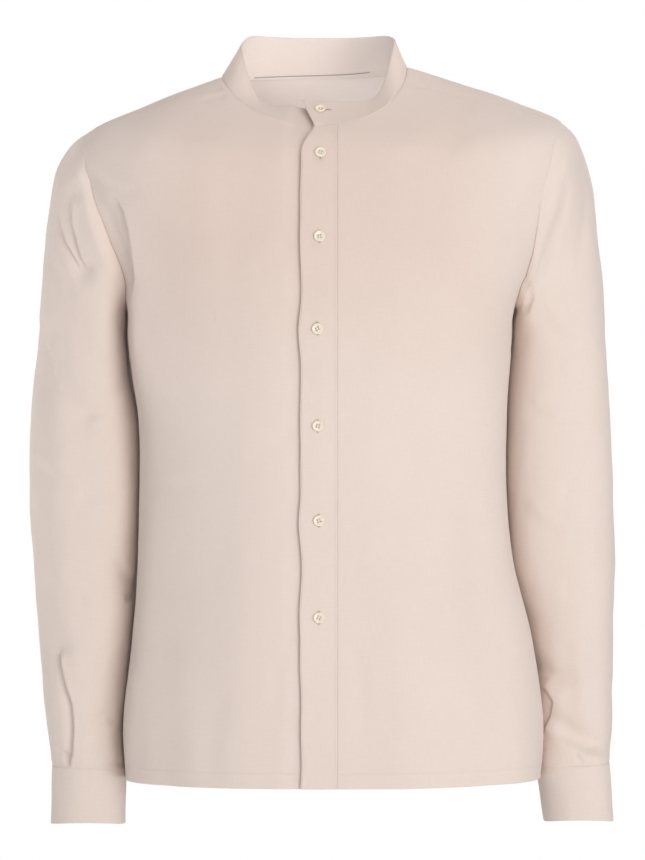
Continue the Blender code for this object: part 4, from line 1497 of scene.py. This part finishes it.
@dataclass
class CollarBand(SubAssembly):
    """The standing band, its left end lapped over its right end."""

    thickness: float = 0.9 * MM
    lap_drop: float = 3.0 * MM
    under_flat: float = -18.0 * MM
    lap_ramp: float = 18 * MM
    end_lift: float = 1.7 * MM  # how far the over end curls out
    lift_turns: float = 0.09
    over_end: Pair = (-5.0 * MM, -17.5 * MM)  # at the seam and at the top edge
    under_end: float = 12.0 * MM
    stitch_end: float = -TURN + 4.35  # the turn at which the stitching stops, short of the under end
    stitch_lift: float = 0.18 * MM
    stitch_rows: Pair = (0.055, 0.945)
    row_inset: float = 0.03
    end_heights: Pair = (0.06, 0.94)
    end_inset: float = 0.028
    hole_x: float = 6.0 * MM
    hole_lift: float = 0.15 * MM
    shadow_line_turns: Pair = (-0.60, 0.72)  # the ends of the painted shadow line inside, from the middle of the back
    shadow_line_heights: Pair = (0.085, 0.005)
    shadow_line_rise: float = 0.022
    shadow_line_lifts: Pair = (0.1 * MM, -0.3 * MM)  # from the inner face
    shadow_line_steps: int = 64
    cloth: CollarCloth = field(default_factory=CollarCloth)

    def reach(self, height: Array) -> Array:
        """How far the band's ring reaches to the right at a height."""
        return mix(-BODY.table[-1, 0], -self.cloth.top[0], height) * MM

    def over_turn(self, height: Array) -> Array:
        """The turn of the over end, slanting back towards its top."""
        share = -mix(self.over_end[0], self.over_end[1], height) / self.reach(height)
        return -np.arccos(-(share ** (BODY.table[-1, 8] / 2))) - TURN

    def under_turn(self, height: Array) -> Array:
        """The turn of the under end."""
        return -np.arccos((self.under_end / self.reach(height)) ** (BODY.table[-1, 8] / 2))

    def under_lap(self, first: Array, second: Array, points: Array) -> Array:
        """How far the under end sinks below the over end."""
        foot = BODY.surface(np.full(second.shape, NECK), second)[..., 0]
        share = smooth(self.under_flat - self.lap_ramp, self.under_flat, foot)
        past = (second - self.over_turn(first)) / self.lift_turns
        lifted = self.end_lift * np.where(second < -TURN, bell(past), 0.0)
        return lifted - self.lap_drop * np.where(second > -math.pi, share, 0.0)

    def build(self) -> None:
        """Makes the band, its stitching, its buttonhole and the painted shadow line inside its back seam."""
        band = Panel(
            "collar_band_cloth", self.cloth, 0.0, 1.0, self.over_turn, self.under_turn,
            (Lap.PLUNGING, Lap.FREE, Lap.FREE, Lap.FREE), self.thickness, pitch=2.2 * MM, lift=self.under_lap,
        )
        piece = band.build(self.room.material(SHIRT_CLOTH))
        self.cover(piece, "collar_band", Cut(0.50, 0.042, 0.0185), "stretched", ["yoke_cloth"])
        lines = []
        for height in self.stitch_rows:
            start = float(self.over_turn(np.array(height))) + self.row_inset
            lines.append((constant(height), between(start, self.stitch_end)))
        heights = between(*self.end_heights)
        lines.append((heights, lambda t: self.over_turn(heights(t)) + self.end_inset))
        self.stitch("collar_stitches", [Seam(self.cloth, *line, self.stitch_lift) for line in lines])
        height, turn = self.spot(self.hole_x, FRONT_BUTTONS[0].z * MM)
        worked = Buttonhole().work(self.cloth, (height, turn), (height, turn + 0.02), self.hole_lift)
        self.sew_buttonholes("collar_buttonhole", "collar_slit", [worked])
        # A dark strip of painted shadow along the back neck seam, inside.
        self.paint_inner_seam_shadow()

    def paint_inner_seam_shadow(self) -> None:
        """Lays a dark strip of painted shadow along the back neck seam, seen inside the collar."""
        along, back = np.linspace(0, 1, self.shadow_line_steps), -1.5 * math.pi
        height, turn = mix(*self.shadow_line_heights, along), mix(*(back + at for at in self.shadow_line_turns), along)
        outer, inner = (lift - self.thickness for lift in self.shadow_line_lifts)
        corners = ((0.0, outer), (self.shadow_line_rise, outer), (self.shadow_line_rise, inner), (0.0, inner))
        ring = np.stack([self.cloth.place(height + rise, turn, lift)[0] for rise, lift in corners], axis=1)
        mesh = (ring.reshape(-1, 3), square_tube_faces(self.shadow_line_steps))
        self.pieces.append(sew("collar_inner_seam_painted_shadow", [mesh], self.room.material(INNER_SEAM_PAINTED_SHADOW)))

    def spot(self, x: float, z: float) -> Spot:
        """The band's height and turn at a place on its over end, in metres."""
        front = np.array([-math.pi / 2 - TURN])
        neck = np.array([NECK])
        foot, top = BODY.surface(neck, front)[:, 2], self.cloth.top_edge(front)[:, 2]
        return (z - foot) / (top - foot), BODY.turn_at_x(neck, x) - TURN


@dataclass
class SleeveSet(SubAssembly):
    """One sleeve, with the strip over its wrist slit."""

    side: Side = Side.LEFT
    sections: dict[str, Section] = field(default_factory=dict)
    thickness: float = 0.5 * MM
    strip_thickness: float = 0.8 * MM
    strip_lift: float = 0.9 * MM
    strip_turns: Pair = (0.65, 0.75)
    strip_share: float = 5 / 21  # of the sleeve's length
    strip_inset: float = 0.006
    strip_gap: float = 0.02  # rows between the strip and the cuff seam
    stitch_rows: Pair = (0.035, 0.42)  # rows below the strip's top
    stitch_gap: float = 0.1

    def build(self) -> None:
        """Makes the sleeve, the strip and its stitching."""
        word = self.side.word
        cloth = SleeveCloth(self.side, self.sections)
        material = self.room.material(SHIRT_CLOTH)
        sleeve = Panel(
            f"sleeve_{word}_cloth", cloth, 0.0, cloth.last, constant(0.0), constant(1.0),
            (Lap.UNDER, Lap.UNDER, Lap.UNDER, Lap.OVER), self.thickness, pitch=2.5 * MM,
            crowding=((0.0, 0.0), (0.68, 0.5), (1.0, 1.0)),
        )
        piece = sleeve.build(material)
        self.cover(piece, f"sleeve_{word}", Cut(0.48, 0.66, 0.21), "hung", ["yoke_cloth"])
        low, high = cloth.last - self.strip_share * cloth.last, cloth.last - self.strip_gap
        start, end = self.strip_turns
        strip = Panel(
            f"sleeve_placket_{word}_cloth", cloth, low, high, constant(start), constant(end),
            (Lap.FREE, Lap.SUNK, Lap.FREE, Lap.FREE), self.strip_thickness, pitch=2.4 * MM,
            lift=lambda first, second, points: np.full(first.shape, self.strip_lift),
        )
        cut = Cut(0.05, 0.15, 0.0045)
        self.cover(strip.build(material), f"sleeve_placket_{word}", cut, "stretched", [piece.name])
        edges = (start + self.strip_inset, end - self.strip_inset)
        (top, bar), last = (low + row for row in self.stitch_rows), cloth.last - self.stitch_gap
        lines = [(between(top, last), constant(edge)) for edge in edges]
        lines += [(constant(row), between(*edges)) for row in (top, bar)]
        lift = self.strip_lift + 0.1 * MM
        self.stitch(f"sleeve_placket_{word}_stitches", [Seam(cloth, *line, lift) for line in lines])


@dataclass
class CuffSet(SubAssembly):
    """One cuff, its front end lapped over its back end."""

    side: Side = Side.LEFT
    top: Section = ()
    bottom: Section = ()
    thickness: float = 1.1 * MM
    under_end: float = 0.62
    over_end: float = 0.70
    ramp: float = 0.10
    lap_drop: float = 2.4 * MM
    proud: float = 0.5 * MM
    button_seat: float = 1.1 * MM
    stitch_rows: Pair = (0.045, 0.96)
    end_heights: Pair = (0.06, 0.94)
    end_inset: float = 0.008
    hole_length: float = 11.5 * MM
    hole_lift: float = 0.15 * MM

    @property
    def button_spot(self) -> Spot:
        """The height and turn of the button, in the middle of the lap."""
        return np.array([0.5]), np.array([(self.under_end + self.over_end) / 2])

    @property
    def cloth(self) -> CuffCloth:
        """The cuff's surface."""
        return CuffCloth(self.side, self.top, self.bottom)

    def dip(self, first: Array, second: Array, points: Array) -> Array:
        """How far the under end sinks, and how far the whole cuff stands off the sleeve."""
        over = smooth(self.over_end + 0.01, self.over_end + self.ramp, second)
        return self.proud - self.lap_drop * (1 - over)

    def build(self) -> None:
        """Makes the cuff, its stitching and its buttonhole."""
        word, cloth = self.side.word, self.cloth
        cuff = Panel(
            f"cuff_{word}_cloth", cloth, 0.0, 1.0, constant(self.under_end), constant(1 + self.over_end),
            (Lap.OVER, Lap.FREE, Lap.FREE, Lap.FREE), self.thickness, pitch=2.4 * MM, lift=self.dip,
        )
        piece = cuff.build(self.room.material(SHIRT_CLOTH))
        self.cover(piece, f"cuff_{word}", Cut(0.265, 0.057, 0.0149), "stretched", [f"sleeve_{word}_cloth"])
        turns = between(self.over_end + self.ramp + 0.01, 1 + self.over_end - 0.01)
        seam_row, free_row = (constant(height) for height in self.stitch_rows)
        end = constant(1 + self.over_end - self.end_inset)
        self.stitch(f"cuff_{word}_stitches", [
            Seam(cloth, seam_row, turns, 0.1 * MM),
            Seam(cloth, free_row, turns, 0.2 * MM),
            Seam(cloth, between(*self.end_heights), end, 0.2 * MM),
        ])
        height, turn = self.button_spot
        spots = (height, turn + 1), (height, turn + 1.01)
        worked = Buttonhole(self.hole_length).work(cloth, *spots, self.hole_lift)
        self.sew_buttonholes(f"cuff_{word}_buttonhole", f"cuff_{word}_slit", [worked])


# Shares of a button's radius and thickness, from its face's middle to its back's.
BUTTON_PROFILE = (
    (0.0, 0.66), (0.45, 0.67), (0.62, 0.70), (0.72, 0.80), (0.80, 0.95), (0.87, 1.0), (0.94, 0.96),
    (0.985, 0.82), (1.0, 0.60), (0.985, 0.40), (0.90, 0.14), (0.78, 0.0), (0.0, 0.0),
)


@dataclass
class Buttons(SubAssembly):
    """The sewn buttons: seven at the front and one on each cuff."""

    radius: float = 5.4 * MM
    cuff_radius: float = 5.0 * MM
    thick: float = 2.2 * MM
    hole_radius: float = 0.78 * MM
    hole_pitch: float = 2.5 * MM
    sides: int = 48
    hole_sides: int = 14
    thread_gap: float = 0.22 * MM  # from the middle of a bar to each of its threads
    seat_gap: float = 0.3 * MM
    leans: ClassVar[tuple[float, ...]] = (0.1, -0.35, 0.2, 0.5, -0.15, 0.35, -0.4)
    cuff_lean: ClassVar[float] = 0.3

    def profile(self, radius: float) -> tuple[Pair, ...]:
        """The turned profile, as (radius, height) from the face's middle to the back's."""
        return tuple((radius * across, self.thick * up) for across, up in BUTTON_PROFILE)

    def turned(self, name: str, radius: float) -> Piece:
        """A button with its four holes drilled, at the origin with its face up."""
        profile = self.profile(radius)
        rings = [circle(*place, self.sides) for place in profile[1:-1]]
        face, back = ((0, 0, height) for _, height in (profile[0], profile[-1]))
        vertices = [face, *(point for ring in rings for point in ring), back]
        faces: list[tuple[int, ...]] = []
        for k in range(self.sides):
            n = (k + 1) % self.sides
            faces.append((0, 1 + k, 1 + n))
            for ring in range(len(rings) - 1):
                a, b = 1 + ring * self.sides, 1 + (ring + 1) * self.sides
                faces.append((a + k, b + k, b + n, a + n))
            last = 1 + (len(rings) - 1) * self.sides
            faces.append((last + k, len(vertices) - 1, last + n))
        piece = new_piece(name, np.array(vertices), faces, self.room.material(SHELL))
        self.drill(piece)
        return piece

    def drill(self, piece: Piece) -> None:
        """Cuts the four holes through a button."""
        sides, depth = self.hole_sides, self.thick * 2
        vertices, faces = [], []
        for middle in circle(self.hole_pitch / math.sqrt(2), 0.0, 4, start=math.pi / 4):
            low = list(range(len(vertices), len(vertices) + sides))
            high = [k + sides for k in low]
            for height in (-depth / 2, depth):
                vertices += circle(self.hole_radius, height, sides, middle)
            faces += zip(low, low[1:] + low[:1], high[1:] + high[:1], high)
            faces += [low[::-1], high]
        drill = new_piece(f"{piece.name}_drill", np.array(vertices), faces, self.room.material(SHELL))
        cut = piece.modifiers.new("Holes", "BOOLEAN")
        cut.operation, cut.object = "DIFFERENCE", drill
        bpy.context.view_layer.update()
        done = bpy.data.meshes.new_from_object(piece.evaluated_get(bpy.context.evaluated_depsgraph_get()))
        piece.modifiers.clear()
        piece.data = done
        bpy.data.objects.remove(drill)

    def threads(self) -> Mesh:
        """Two bars of thread between the holes, each of two threads."""
        half = self.hole_pitch / 2
        places = [x + shift for x in (-half, half) for shift in (-self.thread_gap, self.thread_gap)]
        centres = np.array([(x, 0.0, self.thick * 0.72) for x in places])
        runs, up = (np.repeat([axis], len(places), axis=0) for axis in ((0.0, 1.0, 0.0), (0.0, 0.0, 1.0)))
        return stitch_mesh(centres, runs, up, Stitch(length=self.hole_pitch * 1.35, radius=0.26 * MM))

    def fasten(self, node: str, radius: float, seat: Array, normal: Array, lean: float) -> None:
        """Sets a button and its thread on a seat.

        Args:
            node: The solid that the button stands for.
            radius: The button's radius.
            seat: Where its back's middle sits.
            normal: Its face's direction.
            lean: How far it is turned about its middle, in radians.
        """
        pose = Matrix.Translation(Vector(seat)) @ Vector(normal).to_track_quat("Z", "Y").to_matrix().to_4x4()
        pose = pose @ Matrix.Rotation(lean, 4, "Z")
        button = self.turned(f"{node}_shell", radius)
        vertices, faces = self.threads()
        thread = new_piece(f"{node}_thread", vertices, faces.tolist(), self.room.material(BUTTON_THREAD))
        for piece in (button, thread):
            piece.data.transform(pose)
            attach(piece, "root")
        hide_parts(node)
        self.pieces += [button, thread]

    def build(self, placket: Placket, collar: CollarBand, cuffs: Sequence[CuffSet]) -> None:
        """Fastens all the buttons.

        Args:
            placket: What the front buttons sit on.
            collar: What the top button sits on.
            cuffs: What the cuff buttons sit on.
        """
        for number, (place, lean) in enumerate(zip(FRONT_BUTTONS, self.leans), start=1):
            if number == 1:
                cloth, spot = collar.cloth, collar.spot(place.x * MM, place.z * MM)
                lift = self.seat_gap
            else:
                cloth, spot = BODY, place.on_body()
                lift = placket.proud + self.seat_gap
            seat, normal = cloth.place(*spot, lift)
            self.fasten(f"button_{number}", self.radius, seat[0], normal[0], lean)
        for cuff in cuffs:
            seat, normal = cuff.cloth.place(*cuff.button_spot, cuff.button_seat)
            self.fasten(f"cuff_button_{cuff.side.word}", self.cuff_radius, seat[0], normal[0], self.cuff_lean)


@dataclass
class Studio:
    """The floor, the lights and the camera."""

    room: Workroom
    floor_height: float = -1.45
    floor_radius: float = 5.0
    floor_sides: int = 96
    camera_place: Point = (0.0035, -3.8, -0.352)
    frame_height: float = 0.86  # what the frame takes in at the plane y = 0
    sensor: float = 36.0
    horizon: Pair = (0.13, 0.38)  # sines of height between which the light dims
    dome: float = 0.32
    light_colour: ClassVar[Point] = (1.0, 0.955, 0.915)

    def build(self) -> None:
        """Makes the studio."""
        self.lay_floor()
        self.set_world()
        middle = (0.0, 0.0, -0.35)
        edge, neck = (-0.28, 0.0, -0.4), (-0.02, 0.075, 0.01)
        self.hang_light("key", (1.9, -3.3, -0.7), middle, 1.6, 23.2, math.radians(120))
        self.hang_light("fill", (0.2, -3.7, 0.5), middle, 2.0, 19.0)
        self.hang_light("top", (0.2, 0.1, 2.2), middle, 1.2, 15.0)
        self.hang_light("edge", (-2.3, 0.9, -1.2), edge, 0.8, 1.1, math.radians(28))
        self.hang_light("neck", (0.045, -0.03, -0.14), neck, 0.1, 0.19, colour=(0.86, 0.95, 1.0))
        self.set_camera()

    def lay_floor(self) -> None:
        """Lays a round floor."""
        rim = circle(self.floor_radius, self.floor_height, self.floor_sides)
        floor = new_piece("studio_floor", np.array(rim), [range(len(rim))], self.room.material(PAPER))

    def set_world(self) -> None:
        """Fills the studio with white light, brightest at the horizon and dimmer above and below."""
        nodes = Nodes(bpy.data.worlds.new("studio"))
        parts = nodes.add("SeparateXYZ", {0: nodes.add("TexCoord").outputs["Generated"]})
        height = nodes.maths("ABSOLUTE", parts.outputs["Z"])
        light = nodes.ramp(height, (1.0,) * 3, (self.dome,) * 3, self.horizon)
        nodes.put(nodes.tree.nodes["Background"], "Color", light)
        bpy.context.scene.world = nodes.owner
        bpy.context.scene.view_settings.view_transform = "Standard"

    @staticmethod
    def hang_light(
        name: str, place: Point, target: Point, size: float, power: float, spread: float = math.pi,
        colour: Point | None = None,
    ) -> None:
        """Hangs a soft square light, unseen itself.

        Args:
            name: The light's name.
            place: Where it hangs.
            target: What it faces.
            size: Its side, in metres.
            power: Its power, in watts.
            spread: How wide it shines, in radians.
            colour: Its colour, where it isn't the studio's own.
        """
        light = bpy.data.lights.new(name, "AREA")
        light.size, light.energy, light.spread = size, power, spread
        light.color = colour or Studio.light_colour
        lamp = bpy.data.objects.new(name, light)
        lamp.location = place
        lamp.rotation_euler = (Vector(target) - Vector(place)).to_track_quat("-Z", "Y").to_euler()
        lamp.visible_camera = False
        bpy.context.scene.collection.objects.link(lamp)

    def set_camera(self) -> None:
        """Sets the camera level, in front of the shirt."""
        camera = bpy.data.cameras.new("camera")
        camera.sensor_width = self.sensor
        camera.sensor_fit = "AUTO"
        camera.lens = self.sensor * -self.camera_place[1] / self.frame_height
        eye = bpy.data.objects.new("camera", camera)
        eye.location = self.camera_place
        eye.rotation_euler = (math.pi / 2, 0, 0)
        bpy.context.scene.collection.objects.link(eye)
        bpy.context.scene.camera = eye


def main() -> None:
    """Builds each sub-assembly in order."""
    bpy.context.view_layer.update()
    room = Workroom()
    body, placket, collar = BodyPanels(room), Placket(room), CollarBand(room)
    arms = ((Side.LEFT, SLEEVE_LEFT, CUFF_END_LEFT), (Side.RIGHT, SLEEVE_RIGHT, CUFF_END_RIGHT))
    sleeves = [SleeveSet(room, side=side, sections=table) for side, table, _ in arms]
    cuffs = [CuffSet(room, side=side, top=table["cuff_seam"], bottom=end) for side, table, end in arms]
    buttons = Buttons(room)
    for part in (body, placket, collar, *sleeves, *cuffs):
        part.build()
    buttons.build(placket, collar, cuffs)
    for part in (body, placket, collar, *sleeves, *cuffs, buttons):
        for piece in part.pieces:
            LOG.info("%s: %s, %d faces", type(part).__name__, piece.name, len(piece.data.polygons))
    Studio(room).build()
    bpy.context.view_layer.update()


if __name__ == "__main__":
    logging.basicConfig(level=logging.INFO, format="%(message)s")
    main()
